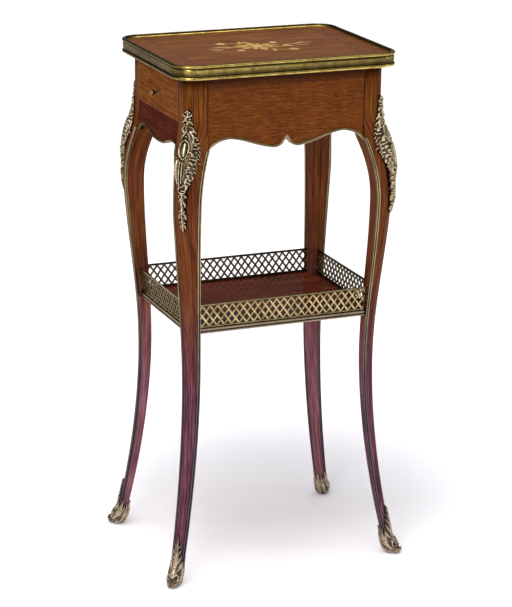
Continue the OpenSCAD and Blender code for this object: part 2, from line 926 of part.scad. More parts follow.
// Knee mount: a leafy outline cut from a shell that wraps the cant and the faces beside it.
// The outline is [share of its length from the top, share of its half width].
chute_line = [
    [0, 0.06], [0.03, 0.24], [0.06, 0.2], [0.1, 0.4], [0.16, 0.44], [0.2, 0.4], [0.24, 0.62],
    [0.27, 0.72], [0.3, 0.94], [0.35, 1], [0.44, 0.96], [0.52, 0.68], [0.56, 0.56], [0.6, 0.32],
    [0.68, 0.2], [0.73, 0.22], [0.8, 0.3], [0.88, 0.28], [0.94, 0.16], [1, 0.04]
];
chute_mid = chute_top - 0.4 * chute_long;
chute_spine = 0.5;
module chute_outline(width) {
    edge = [for (q = smooth(chute_line, 3)) [q[1] * width, chute_top - q[0] * chute_long]];
    polygon(concat(edge, flip_x(edge)));
}
// An outline drawn across the leg's corner, at the height z, and run out along the diagonal from r
module diagonal_prism(z, r) {
    rotate([0, 0, 45])
        translate([r, cant_across(z), 0])
            rotate([90, 0, 90])
                linear_extrude(far)
                    children();
}
module chute(sx, sy) {
    color(gilt)
        at_corner(sx, sy)
            difference() {
                intersection() {
                    union() {
                        intersection() {
                            leg_form(chute_wall);
                            diagonal_prism(chute_mid, 0)
                                chute_outline(chute_half);
                        }
                        intersection() {
                            leg_form(chute_wall + chute_relief);
                            diagonal_prism(chute_mid, 0)
                                chute_outline(chute_half * chute_spine);
                        }
                    }
                    inner_band_x(edge_width + mount_gap, far / 2);
                    inner_band_y(edge_width + mount_gap, far / 2);
                }
                leg_form(0);
                mount_pin_holes();
            }
}

// Cast shoe: a cuff round the foot, a leaf up the front, a rounded heel and a scrolled toe
heel_out = (inner_x(0) + inner_y(0)) / sqrt(2);
foot_out = cant_out(0);
foot_half = (ankle_side - ankle_cant / 2) / sqrt(2) + shoe_wall;
sole_half = foot_half * 0.72;
// The cuff's edge rises in two side leaves round a taller front leaf, all from one root
cuff_rise = 8;
cuff_low = cuff_height - cuff_rise;
leaf_root = cuff_low - 12;
side_leaf = 10;
front_leaf = 12;
module cuff_outline() {
    polygon([
        [-sole_half, -1], [sole_half, -1], [sole_half, 0], [foot_half + 1, leg_foot - 2],
        [foot_half * 2, cuff_low], [-foot_half * 2, cuff_low], [-foot_half - 1, leg_foot - 2], [-sole_half, 0]
    ]);
    for (x = [-sole_half, sole_half])
        translate([x, leaf_root])
            rotate(90)
                leaf(cuff_height - leaf_root, side_leaf);
}
module leaf_outline() {
    translate([0, leaf_root])
        rotate(90)
            leaf(shoe_leaf - leaf_root, front_leaf);
}
// The shoe's toe in the upright plane along the diagonal
toe_tip = foot_out + toe_reach;
module toe_side() {
    polygon(concat(
        [[foot_out - 6, 0], [toe_tip - toe_radius, 0]],
        arc(toe_tip - toe_radius, toe_radius, toe_radius, -90, 110, 10),
        smooth([
            [toe_tip - toe_radius * 1.15, toe_radius * 2.3], [toe_tip - toe_radius * 1.6, leg_foot],
            [foot_out + shoe_wall, leg_foot + 9], [cant_out(cuff_height - 4), cuff_height - 4]
        ], 4),
        [[foot_out - 14, leg_foot]]
    ));
}
module toe_plan() {
    polygon([
        [foot_out - 14, -foot_half], [foot_out, -foot_half * 0.9], [toe_tip - toe_radius, -sole_half * 0.8],
        [toe_tip - toe_radius, sole_half * 0.8], [foot_out, foot_half * 0.9], [foot_out - 14, foot_half]
    ]);
    translate([toe_tip - toe_radius - 2, -sole_half * 0.8])
        square([toe_radius + 3, sole_half * 1.6]);
}
// What the rounded heel leaves off, in the same upright plane
module heel_side() {
    heel = heel_out - shoe_wall * sqrt(2);
    polygon(concat(
        [[heel - 20, -1], [heel + 10.5, -1]],
        smooth([[heel + 9, 0], [heel + 6.5, 2], [heel + 2.5, 7.5], [heel - 2, 15], [heel - 9, 30]], 4),
        [[heel - 20, 30]]
    ));
}
module on_diagonal(half) {
    rotate([0, 0, 45])
        translate([0, cant_across(0) + half, 0])
            rotate([90, 0, 0])
                linear_extrude(2 * half)
                    children();
}
module sabot(sx, sy) {
    color(gilt)
        at_corner(sx, sy)
            difference() {
                union() {
                    intersection() {
                        leg_form(shoe_wall);
                        union() {
                            diagonal_prism(0, 0)
                                cuff_outline();
                            diagonal_prism(0, cant_out(shoe_leaf) - 4)
                                leaf_outline();
                        }
                    }
                    intersection() {
                        on_diagonal(foot_half)
                            toe_side();
                        rotate([0, 0, 45])
                            translate([0, cant_across(0), 0])
                                linear_extrude(cuff_height)
                                    toe_plan();
                    }
                }
                intersection() {
                    leg_form(0);
                    block([0, far], [0, far], [leg_foot, far]);
                }
                on_diagonal(far / 2)
                    heel_side();
                mount_pin_holes();
            }
}
module mount_pins() {
    color(gilt)
        for (sx = [-1, 1], sy = [-1, 1], p = mount_pins_at)
            at_corner(sx, sy) {
                seat = cant_out(p[0]) + p[1] + pin_lift;
                diagonal_pin(p[0], cant_out(p[0]) - pin_bite, seat, pin_r);
                diagonal_pin(p[0], seat, seat + pin_head, pin_head_r);
            }
}

// The shelf, notched round the legs
gallery_half_x = inner_x(shelf_height);
gallery_half_y = inner_y(shelf_height);
shelf_half_x = gallery_half_x + shelf_out_x;
shelf_half_y = gallery_half_y + shelf_out_y;
shelf_core = shelf_height - veneer;
module shelf_board() {
    color(wood_red)
        difference() {
            block(
                [-shelf_half_x, shelf_half_x],
                [-shelf_half_y, shelf_half_y],
                [shelf_height - shelf_wall, shelf_core]
            );
            for (sx = [-1, 1], sy = [-1, 1])
                at_corner(sx, sy) {
                    leg_notch(0);
                    shelf_dowel(pin_gap);
                }
        }
}
// The veneer on the shelf, inside the gallery that stands round it
module shelf_veneer() {
    inset = gallery_wall + gallery_in + 2 * pin_gap;
    color(wood_red)
        cut_by_legs()
            block(
                [-shelf_half_x + inset, shelf_half_x - inset],
                [-shelf_half_y + inset, shelf_half_y - inset],
                [shelf_core, shelf_height]
            );
}
// The corner of the shelf's space that the leg takes, out to past the leg
module leg_notch(gap) {
    intersection() {
        band_x(-gap, far / 2);
        band_y(-gap, far / 2);
    }
}
module shelf_dowels() {
    color(wood_pale)
        for (sx = [-1, 1], sy = [-1, 1])
            at_corner(sx, sy)
                shelf_dowel(0);
}
// Brass moulding along the shelf's edges, under the gallery
shelf_trim_out = 2.6;
shelf_trim_step = 0.4;
module shelf_trim() {
    color(gilt)
        difference() {
            union() {
                edge_bar(shelf_half_x, shelf_half_y);
                rotate([0, 0, 90])
                    edge_bar(shelf_half_y, shelf_half_x);
            }
            for (sx = [-1, 1], sy = [-1, 1])
                at_corner(sx, sy)
                    leg_notch(0);
        }
}
trim_r = shelf_wall / 4;
trim_section = concat(
    [[0, 0]],
    arc(shelf_trim_out - trim_r, trim_r, trim_r, -90, 80, 5),
    arc(shelf_trim_out - trim_r - shelf_trim_step, shelf_wall - trim_r, trim_r, -80, 90, 5),
    [[0, shelf_wall]]
);
module edge_bar(half, out) {
    for (s = [0, 1])
        mirror([0, s, 0])
            translate([-half, out, shelf_height - shelf_wall])
                rotate([90, 0, 90])
                    linear_extrude(2 * half)
                        polygon(trim_section);
}

// Gallery panel: trellis between a foot rail and a top rail, along X from -half to half. Its foot goes
// down beside the shelf's veneer to the board.
function lozenge_hole(cx, cz, w, h, z0, z1) =
    cz <= z0 + 0.01 ? [[cx - w, z0], [cx + w, z0], [cx, z0 + h]] :
    cz >= z1 - 0.01 ? [[cx - w, z1], [cx, z1 - h], [cx + w, z1]] :
    [[cx - w, cz], [cx, cz - h], [cx + w, cz], [cx, cz + h]];
foot_down = 2 * veneer;
module trellis(half) {
    count = floor(2 * (half - 1) / lozenge);
    z0 = rail_height;
    z1 = rail_height + trellis_height;
    tall = trellis_height / 2;
    open = 1 - bar_width / (lozenge * tall / sqrt(lozenge * lozenge + tall * tall));
    w = lozenge / 2 * open;
    h = tall / 2 * open;
    holes = [
        for (row = [0 : 4])
            for (k = [0 : count - 1 - (row % 2)])
                lozenge_hole(
                    (k - (count - 1 - (row % 2)) / 2) * lozenge,
                    z0 + row * tall / 2,
                    w, h, z0, z1
                )
    ];
    points = concat(
        [[-half, -foot_down], [half, -foot_down], [half, gallery_height], [-half, gallery_height]],
        [for (a = holes) for (q = a) q]
    );
    starts = [for (i = 0, n = 4; i < len(holes); n = n + len(holes[i]), i = i + 1) n];
    paths = concat(
        [[0, 1, 2, 3]],
        [for (i = [0 : len(holes) - 1]) [for (k = [0 : len(holes[i]) - 1]) starts[i] + k]]
    );
    rotate([90, 0, 0])
        linear_extrude(gallery_wall)
            polygon(points, paths);
}
// Beads that stiffen the top and foot of the panel, on its show side
rail_bead = 0.7;
module rail_beads(half) {
    for (span = [[-foot_down, rail_height], [gallery_height - rail_height, gallery_height]])
        block([-half, half], [-gallery_wall - rail_bead, -gallery_wall + thin], span);
}
gallery_reach = 12;
gallery_in = 0.8;
module gallery_panel(half, out) {
    difference() {
        translate([0, -out + gallery_wall + gallery_in, shelf_height])
            rotate([gallery_flare, 0, 0]) {
                trellis(half + gallery_reach);
                rail_beads(half + gallery_reach);
            }
        block([-far, far], [-far, far], [0, shelf_core]);
    }
}
module cut_by_legs() {
    difference() {
        children();
        for (sx = [-1, 1], sy = [-1, 1])
            at_corner(sx, sy)
                leg_notch(0);
    }
}
module gallery_front() {
    color(gilt)
        cut_by_legs()
            gallery_panel(gallery_half_x, shelf_half_y);
}
module gallery_back() {
    color(gilt)
        cut_by_legs()
            mirror([0, 1, 0])
                gallery_panel(gallery_half_x, shelf_half_y);
}
module gallery_left() {
    color(gilt)
        cut_by_legs()
            rotate([0, 0, -90])
                gallery_panel(gallery_half_y, shelf_half_x);
}
module gallery_right() {
    color(gilt)
        cut_by_legs()
            rotate([0, 0, 90])
                gallery_panel(gallery_half_y, shelf_half_x);
}

top_core();
field_veneer();
border_veneers();
top_stringing();
flower_spray();
rim_left_half();
rim_right_half();
rim_pins();
top_screws();
leg(-1, -1);  // leg_front_left
leg(1, -1);  // leg_front_right
leg(-1, 1);  // leg_back_left
leg(1, 1);  // leg_back_right
frieze_front();
frieze_back();
frieze_right();
drawer_rail();
panel_stringing();
runner(-1);  // runner_front
runner(1);  // runner_back
guide(-1);  // guide_front
guide(1);  // guide_back
kicker(-1);  // kicker_front
kicker(1);  // kicker_back
drawer_stops();
drawer_front();
drawer_side(-1);  // drawer_side_front
drawer_side(1);  // drawer_side_back
drawer_back();
drawer_bottom();
drawer_knob();
knob_nut();
apron_trim_front();
apron_trim_back();
apron_trim_left();
apron_trim_right();
edge_trim(-1, -1);  // edge_trim_front_left
edge_trim(1, -1);  // edge_trim_front_right
edge_trim(-1, 1);  // edge_trim_back_left
edge_trim(1, 1);  // edge_trim_back_right
chute(-1, -1);  // chute_front_left
chute(1, -1);  // chute_front_right
chute(-1, 1);  // chute_back_left
chute(1, 1);  // chute_back_right
sabot(-1, -1);  // sabot_front_left
sabot(1, -1);  // sabot_front_right
sabot(-1, 1);  // sabot_back_left
sabot(1, 1);  // sabot_back_right
mount_pins();
shelf_board();
shelf_veneer();
shelf_dowels();
shelf_trim();
gallery_front();
gallery_back();
gallery_left();
gallery_right();
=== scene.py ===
import math

import bmesh
import bpy
import numpy as np
from mathutils import Matrix, Vector


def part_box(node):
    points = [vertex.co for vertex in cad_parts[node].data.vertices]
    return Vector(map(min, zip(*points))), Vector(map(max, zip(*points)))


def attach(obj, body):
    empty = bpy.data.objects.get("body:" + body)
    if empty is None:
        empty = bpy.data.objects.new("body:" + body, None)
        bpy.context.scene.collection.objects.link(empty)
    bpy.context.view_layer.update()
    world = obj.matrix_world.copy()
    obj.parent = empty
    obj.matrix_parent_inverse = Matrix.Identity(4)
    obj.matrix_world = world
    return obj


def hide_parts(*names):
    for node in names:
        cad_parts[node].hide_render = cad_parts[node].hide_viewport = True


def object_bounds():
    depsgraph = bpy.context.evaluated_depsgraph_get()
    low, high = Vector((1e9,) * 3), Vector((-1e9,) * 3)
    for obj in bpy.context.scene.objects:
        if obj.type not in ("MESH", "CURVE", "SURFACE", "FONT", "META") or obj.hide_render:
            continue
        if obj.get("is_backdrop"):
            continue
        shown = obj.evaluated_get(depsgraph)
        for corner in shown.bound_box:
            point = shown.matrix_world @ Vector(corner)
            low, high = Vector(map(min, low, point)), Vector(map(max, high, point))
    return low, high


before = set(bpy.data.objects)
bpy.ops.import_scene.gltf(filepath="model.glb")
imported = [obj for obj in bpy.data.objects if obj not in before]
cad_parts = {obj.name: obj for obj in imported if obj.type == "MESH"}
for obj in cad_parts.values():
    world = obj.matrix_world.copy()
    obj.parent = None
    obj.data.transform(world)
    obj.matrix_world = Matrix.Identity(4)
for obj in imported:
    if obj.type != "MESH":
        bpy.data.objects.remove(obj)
cad_low, cad_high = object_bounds()

# The photographer's view: a long lens a little over three metres away, turned 22 degrees towards the
# drawer end and looking 17 degrees down on the table.
view_turn = math.radians(22.36)
view_dip = math.radians(17.10)
view_roll = math.radians(0.56)
view_far = 3.32015
view_middle = Vector((0, 0, 0.38))
view_off = (-0.00214, 0.00762)
lens_mm = 133.42

look = Vector((
    math.sin(view_turn) * math.cos(view_dip), math.cos(view_turn) * math.cos(view_dip), -math.sin(view_dip),
))
level = Vector((math.cos(view_turn), -math.sin(view_turn), 0))
upright = level.cross(look)
right = level * math.cos(view_roll) + upright * math.sin(view_roll)
up = upright * math.cos(view_roll) - level * math.sin(view_roll)
camera = bpy.data.objects.new("camera", bpy.data.cameras.new("camera"))
camera.data.lens = lens_mm
camera.data.sensor_width = 36
camera.data.clip_end = 40
camera.matrix_world = Matrix.Translation(
    view_middle - look * view_far - right * view_off[0] - up * view_off[1]
) @ Matrix((right, up, -look)).transposed().to_4x4()
bpy.context.scene.collection.objects.link(camera)
bpy.context.scene.camera = camera

# The studio: a white sweep lit until it burns out to plain white, a large soft box over the
# photographer's left shoulder, one overhead, a narrow one in front and a weak one on the right, and the
# even light of a pale hall from all round.
def paint(code):
    """The linear colour of an sRGB hex value."""
    parts = [int(code[i:i + 2], 16) / 255 for i in (1, 3, 5)]
    return tuple(c / 12.92 if c <= 0.04045 else ((c + 0.055) / 1.055) ** 2.4 for c in parts) + (1,)


def add(tree, kind, sockets=None, **settings):
    """Adds a node with its settings. sockets gives each input a value, or the output that feeds it."""
    made = tree.nodes.new(kind)
    for name, value in settings.items():
        setattr(made, name, value)
    for key, value in (sockets or {}).items():
        if isinstance(value, bpy.types.NodeSocket):
            tree.links.new(value, made.inputs[key])
        else:
            made.inputs[key].default_value = value
    return made


def soft_box(name, place, aim, size, watts):
    """A rectangular light at a place, turned to its aim. Places and sizes are in metres."""
    light = bpy.data.lights.new(name, "AREA")
    light.shape = "RECTANGLE"
    light.size, light.size_y = size
    light.energy = watts
    lamp = bpy.data.objects.new(name, light)
    lamp.location = place
    lamp.rotation_euler = (Vector(aim) - Vector(place)).to_track_quat("-Z", "Y").to_euler()
    bpy.context.scene.collection.objects.link(lamp)


# Name, place, aim, size, watts: the large one, the overhead one, the weak one and the narrow one.
soft_box("key_box", (-1.9, -2.4, 1.9), (0, 0, 0.5), (1.1, 1.1), 25)
soft_box("top_box", (0.2, 0.2, 3.2), (0, 0, 0), (1.6, 1.6), 18)
soft_box("side_box", (3.0, -1.9, 1.5), (0, 0, 0.4), (0.5, 1.6), 9)
soft_box("strip_box", (0.42, -3.0, 1.05), (0, 0, 0.7), (0.22, 1.3), 4)

# The hall's light is a sun made so wide that it throws no edge.
hall = bpy.data.lights.new("hall_light", "SUN")
hall.energy = 1.5
hall.angle = math.radians(55)
hall_lamp = bpy.data.objects.new("hall_light", hall)
hall_lamp.rotation_euler = Vector((0.5, 0.35, -1)).to_track_quat("-Z", "Y").to_euler()
bpy.context.scene.collection.objects.link(hall_lamp)

world = bpy.data.worlds.new("studio")
world.use_nodes = True
hall_air = world.node_tree
overhead = add(hall_air, "ShaderNodeSeparateXYZ", {
    "Vector": add(hall_air, "ShaderNodeTexCoord").outputs["Generated"],
}).outputs["Z"]
# Pale at the floor, dim above it, which gives brass and polish something dark to mirror, and white on top.
walls = add(hall_air, "ShaderNodeValToRGB", {"Fac": overhead})
walls.color_ramp.elements[0].position = 0.12
walls.color_ramp.elements[0].color = paint("#f4f5f8")
for place, colour in ((0.22, "#5c5d60"), (0.5, "#6c6d70")):
    walls.color_ramp.elements.new(place).color = paint(colour)
hall_air.links.new(walls.outputs["Color"], hall_air.nodes["Background"].inputs["Color"])
hall_air.nodes["Background"].inputs["Strength"].default_value = 0.8
bpy.context.scene.world = world
bpy.context.scene.view_settings.view_transform = "Standard"

# Matt white paper: it shows the eye soft shadows and no gloss, and glows where the sweep is burnt out.
# Round the table's feet its glow fades, a painted soft shadow under the table.
sweep_half, sweep_drop = 30.0, 0.0004
shadow_middle, shadow_edges = (0.12, 0.19, 0), (0.1, 0.46)
sweep_paper = bpy.data.materials.new("sweep_paper_matt")
sweep_paper.use_nodes = True
paper_shader = sweep_paper.node_tree.nodes["Principled BSDF"]
paper_shader.inputs["Base Color"].default_value = paint("#f2f0f5")
paper_shader.inputs["Roughness"].default_value = 0.9
paper_shader.inputs["Specular IOR Level"].default_value = 0.1
paper_shader.inputs["Emission Color"].default_value = paint("#ffffff")
paper_place = add(sweep_paper.node_tree, "ShaderNodeVectorMath", {
    0: add(sweep_paper.node_tree, "ShaderNodeTexCoord").outputs["Object"], 1: shadow_middle,
}, operation="DISTANCE")
# Painted shadow: the paper glows least round the table's feet and fully further out.
paper_shadow_glow = add(sweep_paper.node_tree, "ShaderNodeMapRange", {
    "Value": paper_place.outputs["Value"], "From Min": shadow_edges[0], "From Max": shadow_edges[1],
    "To Min": 0.02, "To Max": 0.36,
}, interpolation_type="SMOOTHSTEP")
sweep_paper.node_tree.links.new(paper_shadow_glow.outputs[0], paper_shader.inputs["Emission Strength"])
paper_mesh = bpy.data.meshes.new("sweep")
paper_mesh.from_pydata(
    [(x * sweep_half, y * sweep_half, -sweep_drop) for x, y in ((-1, -1), (1, -1), (1, 1), (-1, 1))],
    [], [(0, 1, 2, 3)],
)
paper_mesh.materials.append(sweep_paper)
paper = bpy.data.objects.new("sweep", paper_mesh)
bpy.context.scene.collection.objects.link(paper)
paper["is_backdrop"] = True

# The four cabriole legs, each sawn from solid mahogany with its post and veneered all round. They swing
# out at the knee and the foot, and a flat cant runs down the outer corner.
mm = 0.001
# Heights and sizes in millimetres. Shoulder, knee and spring, where the inner faces leave the post, are
# measured down from the top of the post.
top_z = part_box("leg_front_right")[1].z / mm
ledge_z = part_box("rim_right_half")[0].z / mm
post_x, post_y = 118.5, 81.0
post_side = 31.0
shoulder_z, knee_z, waist_z = top_z - 63.5, top_z - 191.5, 312.0
spring_x, spring_y = top_z - 101.5, top_z - 107.0
# How far the inner faces stand out from the post's at each height, how wide the leg is there, how wide
# its cant, and how fast each stretch bends.
knee_out, waist_out, foot_out = (17.0, 21.0), (10.0, 10.5), (48.0, 39.0)
knee_side, waist_side, ankle_side = 28.5, 18.5, 12.0
post_cant, knee_cant, waist_cant, ankle_cant = 11.0, 15.0, 9.0, 4.0
swell_bend, calf_bend, foot_bend = 1.5, 1.35, 1.8
# The arris is taken off on a small arc, whose middle point stays this near to the sharp corner.
arris, arris_bulge = 1.0, 0.22
leg_bottom = 16.0
# Faces that meet more sharply than this keep a crisp edge.
crease = math.radians(52)


def ease(t):
    """A smooth step from 0 to 1, level at both ends."""
    return (1 - math.cos(math.pi * t)) / 2


def inner(z, k):
    """How far a leg's inner face lies from the table's middle at height z, along X for k 0 and Y for 1."""
    spring = (spring_x, spring_y)[k]
    if z >= spring:
        out = 0
    elif z >= knee_z:
        out = knee_out[k] * (1 - (1 - (spring - z) / (spring - knee_z)) ** 2)
    elif z >= waist_z:
        out = knee_out[k] + (waist_out[k] - knee_out[k]) * ease((knee_z - z) / (knee_z - waist_z))
    else:
        out = waist_out[k] + (foot_out[k] - waist_out[k]) * ((waist_z - z) / waist_z) ** foot_bend
    return (post_x, post_y)[k] + out


def outer(z, k):
    """How far a leg's outer face lies from the table's middle at height z."""
    base = (post_x, post_y)[k]
    if z >= shoulder_z:
        return base + post_side
    if z >= knee_z:
        swell = math.sin(math.pi / 2 * (shoulder_z - z) / (shoulder_z - knee_z)) ** swell_bend
        return base + post_side + (knee_out[k] + knee_side - post_side) * swell
    if z >= waist_z:
        side = waist_side + (knee_side - waist_side) * ((z - waist_z) / (knee_z - waist_z)) ** calf_bend
    else:
        side = waist_side + (ankle_side - waist_side) * (waist_z - z) / waist_z
    return inner(z, k) + side


def cant(z):
    """How much the cant takes off each outer face at height z."""
    if z >= shoulder_z:
        return post_cant
    if z >= knee_z:
        return post_cant + (knee_cant - post_cant) * ease((shoulder_z - z) / (shoulder_z - knee_z))
    if z >= waist_z:
        return knee_cant + (waist_cant - knee_cant) * (knee_z - z) / (knee_z - waist_z)
    return waist_cant + (ankle_cant - waist_cant) * (waist_z - z) / waist_z


def leg_corners(z):
    """The five corners of a leg's section in the corner at +X, +Y, from the inner one by the X side."""
    ix, iy, ox, oy, c = inner(z, 0), inner(z, 1), outer(z, 0), outer(z, 1), cant(z)
    return [Vector(p) for p in ((ix, iy), (ox, iy), (ox, oy - c), (ox - c, oy), (ix, oy))]


def rounded(corners, radius):
    """The corners of a closed outline, each taken off by three points on a small arc."""
    points = []
    for i, corner in enumerate(corners):
        before = (corners[i - 1] - corner).normalized() * radius
        after = (corners[(i + 1) % len(corners)] - corner).normalized() * radius
        points += [corner + before, corner + (before + after) * arris_bulge, corner + after]
    return points


def finish_piece(name, mesh, material, body="table", flat_faces=True):
    """Makes a piece of a mesh whose points are in millimetres, and lets it ride on its body."""
    mesh.transform(Matrix.Scale(mm, 4))
    work = bmesh.new()
    work.from_mesh(mesh)
    bmesh.ops.recalc_face_normals(work, faces=work.faces)
    work.to_mesh(mesh)
    work.free()
    mesh.shade_smooth()
    if flat_faces:
        mesh.set_sharp_from_angle(angle=crease)
    mesh.materials.append(material)
    piece = bpy.data.objects.new(name, mesh)
    bpy.context.scene.collection.objects.link(piece)
    if flat_faces:
        piece.modifiers.new("flat_faces", "WEIGHTED_NORMAL").keep_sharp = True
    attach(piece, body)
    return piece


def mark(mesh, name, values):
    """Stores a value on each point of a mesh, for its material to read."""
    mesh.attributes.new(name, "FLOAT", "POINT").data.foreach_set("value", np.ravel(values))


def loft(name, rings, along, around, caps=True):
    """A skin over closed rings of points. along gives the grain's length at each ring, and around its
    width at each point of each ring, with the first point's again at the end."""
    rings = np.asarray(rings, float)
    count, sides = rings.shape[:2]
    faces, grain = [], []
    for i in range(count - 1):
        for j in range(sides):
            k = (j + 1) % sides
            faces.append((i * sides + j, i * sides + k, (i + 1) * sides + k, (i + 1) * sides + j))
            grain += [
                (along[i], around[i][j]), (along[i], around[i][j + 1]),
                (along[i + 1], around[i + 1][j + 1]), (along[i + 1], around[i + 1][j]),
            ]
    if caps:
        for start in (0, (count - 1) * sides):
            faces.append(tuple(range(start, start + sides)))
            grain += [(rings[start // sides][j][0], rings[start // sides][j][1]) for j in range(sides)]
    mesh = bpy.data.meshes.new(name)
    mesh.from_pydata(rings.reshape(-1, 3).tolist(), [], faces)
    layer = mesh.uv_layers.new(name="grain")
    layer.data.foreach_set("uv", (np.array(grain, float) * mm).ravel())
    return mesh


def wash(tree, under, over, measure, start, end, most=1.0):
    """One tone laid over another: not at all where a measure is at start, and by most where it is at end."""
    share = add(tree, "ShaderNodeMapRange", {
        "Value": measure, "From Min": start, "From Max": end, "To Min": 0.0, "To Max": most,
    }).outputs[0]
    return add(tree, "ShaderNodeMix", {0: share, 6: under, 7: over}, data_type="RGBA").outputs[2]


def wood(name, dark, middle, light, grain="object", turn=(0, 0, 0), streak=(70, 4.0), line=(22, 0.9),
         mottle=(14, 30), mottle_depth=0.25, contrast=1.0, gloss=0.1, rough=0.34, foot=None, head=None,
         arris_dark=0.0, side_shade=None, ledge=None, seed=0.0):
    """A polished veneer. Sizes are in millimetres, along the grain and across it. foot and head are other
    tones towards the floor and the top, arris_dark darkens the edges that a mesh marks, side_shade gives
    the half sizes of a surface with painted shade along its four sides and towards the front, and ledge the
    height of a rim whose shadow is painted on the wood below it. The foot's tone is a painted reflection of
    the floor. Real pores are a tenth of a millimetre wide and real grain lines a third. Both are drawn
    several times as coarse, or they wouldn't show from here."""
    streak_share, line_share = 0.55, 0.45
    floor_reflection_blend, head_blend, front_blend = (0.43, 0.27), (0.58, 0.68), (0.0, -0.06)
    side_shade_width, ledge_reach, ledge_full = 12, 19, 6.5
    side_shade_tone, shade, rim_shadow_tone, edge_brown = (paint(code) for code in ("#160806", "#2a0f0a", "#200600", "#1c0c06"))
    finish = bpy.data.materials.new(name)
    finish.use_nodes = True
    tree = finish.node_tree
    shader = tree.nodes["Principled BSDF"]
    spot = add(tree, "ShaderNodeTexCoord").outputs["Object"]
    place = add(tree, "ShaderNodeSeparateXYZ", {"Vector": spot})
    height = place.outputs["Z"]
    source = spot if grain == "object" else add(tree, "ShaderNodeUVMap", uv_map="grain").outputs["UV"]
    turned = add(tree, "ShaderNodeMapping", {
        "Vector": source, "Rotation": turn, "Location": (seed, seed, seed),
    })

    def grained(size, detail, distortion):
        stretch = add(tree, "ShaderNodeMapping", {
            "Vector": turned.outputs[0],
            "Scale": (1000 / size[0], 1000 / size[1], 1000 / size[1]),
        })
        return add(tree, "ShaderNodeTexNoise", {
            "Vector": stretch.outputs[0], "Scale": 1.0, "Detail": detail, "Roughness": 0.55,
            "Distortion": distortion,
        }).outputs["Fac"]

    broad = grained(streak, 3, 0.5)
    fine = grained(line, 4, 0.15)
    pores = grained((line[0] * 0.3, line[1] * 0.4), 2, 0)
    cloud = grained(mottle, 2, 0.4)
    mixed = add(tree, "ShaderNodeMath", {0: broad, 1: streak_share}, operation="MULTIPLY").outputs[0]
    for part, share in ((fine, line_share * contrast), (cloud, mottle_depth)):
        mixed = add(tree, "ShaderNodeMath", {
            0: part, 1: share, 2: mixed,
        }, operation="MULTIPLY_ADD").outputs[0]
    total = streak_share + line_share * contrast + mottle_depth
    # Nearly all of the noise falls in the middle third of its range, so the three tones lie there.
    dark_at, middle_at, light_at = total * 0.36, total * 0.5, total * 0.66

    def tones(shades):
        ramp = add(tree, "ShaderNodeValToRGB", {"Fac": mixed})
        ramp.color_ramp.elements[0].position = dark_at
        ramp.color_ramp.elements[0].color = paint(shades[0])
        ramp.color_ramp.elements[1].position = light_at
        ramp.color_ramp.elements[1].color = paint(shades[2])
        ramp.color_ramp.elements.new(middle_at).color = paint(shades[1])
        return ramp.outputs["Color"]

    colour = tones((dark, middle, light))
    # The foot's tone: a painted reflection of the floor on the lower leg.
    if foot:
        colour = wash(tree, colour, tones(foot), height, *floor_reflection_blend, most=0.93)
    if head:
        colour = wash(tree, colour, tones(head), height, *head_blend)
    # Painted shade: darker along the four sides, and darker towards the front.
    if side_shade:
        for axis, half in zip("XY", side_shade):
            far = add(tree, "ShaderNodeMath", {0: place.outputs[axis]}, operation="ABSOLUTE").outputs[0]
            colour = wash(tree, colour, side_shade_tone, far, (half - side_shade_width) * mm, half * mm, most=0.5)
        colour = wash(tree, colour, shade, place.outputs["Y"], *front_blend, most=0.75)
    # A painted shadow below the rim, on the wood just under its ledge.
    if ledge:
        rim_shadow_span = (ledge - ledge_reach) * mm, (ledge - ledge_full) * mm
        colour = wash(tree, colour, rim_shadow_tone, height, *rim_shadow_span, most=0.85)
    if arris_dark:
        edge = add(tree, "ShaderNodeAttribute", attribute_name="arris").outputs["Fac"]
        colour = wash(tree, colour, edge_brown, edge, 0.0, 1.0, most=arris_dark)
    colour = wash(tree, colour, paint(dark), pores, 0.56, 0.68, most=0.6)
    tree.links.new(colour, shader.inputs["Base Color"])
    polish = add(tree, "ShaderNodeMapRange", {
        "Value": broad, "From Min": 0.3, "From Max": 0.7, "To Min": rough - 0.05, "To Max": rough + 0.07,
    })
    tree.links.new(polish.outputs[0], shader.inputs["Roughness"])
    bump = add(tree, "ShaderNodeBump", {"Height": fine, "Strength": 0.25, "Distance": 0.00012})
    tree.links.new(bump.outputs[0], shader.inputs["Normal"])
    shader.inputs["IOR"].default_value = 1.5
    shader.inputs["Specular IOR Level"].default_value = gloss
    return finish


# Straight mahogany under a French polish: long dark lines down the leg, orange brown at the post, with dark
# arrises, and plum towards the floor, a painted reflection of the floor. On the back pair that painted
# reflection is paler.
leg_wood, back_leg_wood = [
    wood(
        name, "#371910", "#66361f", "#88542f", grain="leg", streak=(110, 3.2), line=(44, 1.3),
        mottle=(60, 10), mottle_depth=0.3, contrast=1.3, foot=foot, head=("#361806", "#683916", "#8c5826"),
        arris_dark=0.75, gloss=0.004, ledge=ledge_z,
    )
    for name, foot in (("mahogany_front_leg_french_polished", ("#301c30", "#5f3645", "#8d6271")),
                       ("mahogany_back_leg_painted_floor_light_polished", ("#4a3038", "#7d4e58", "#a67882")))
]

leg_heights = sorted(
    {leg_bottom, spring_x, spring_y, shoulder_z, top_z}
    | set(np.linspace(leg_bottom, waist_z, 34)) | set(np.linspace(waist_z, knee_z, 22))
    | set(np.linspace(knee_z, shoulder_z, 22))
)
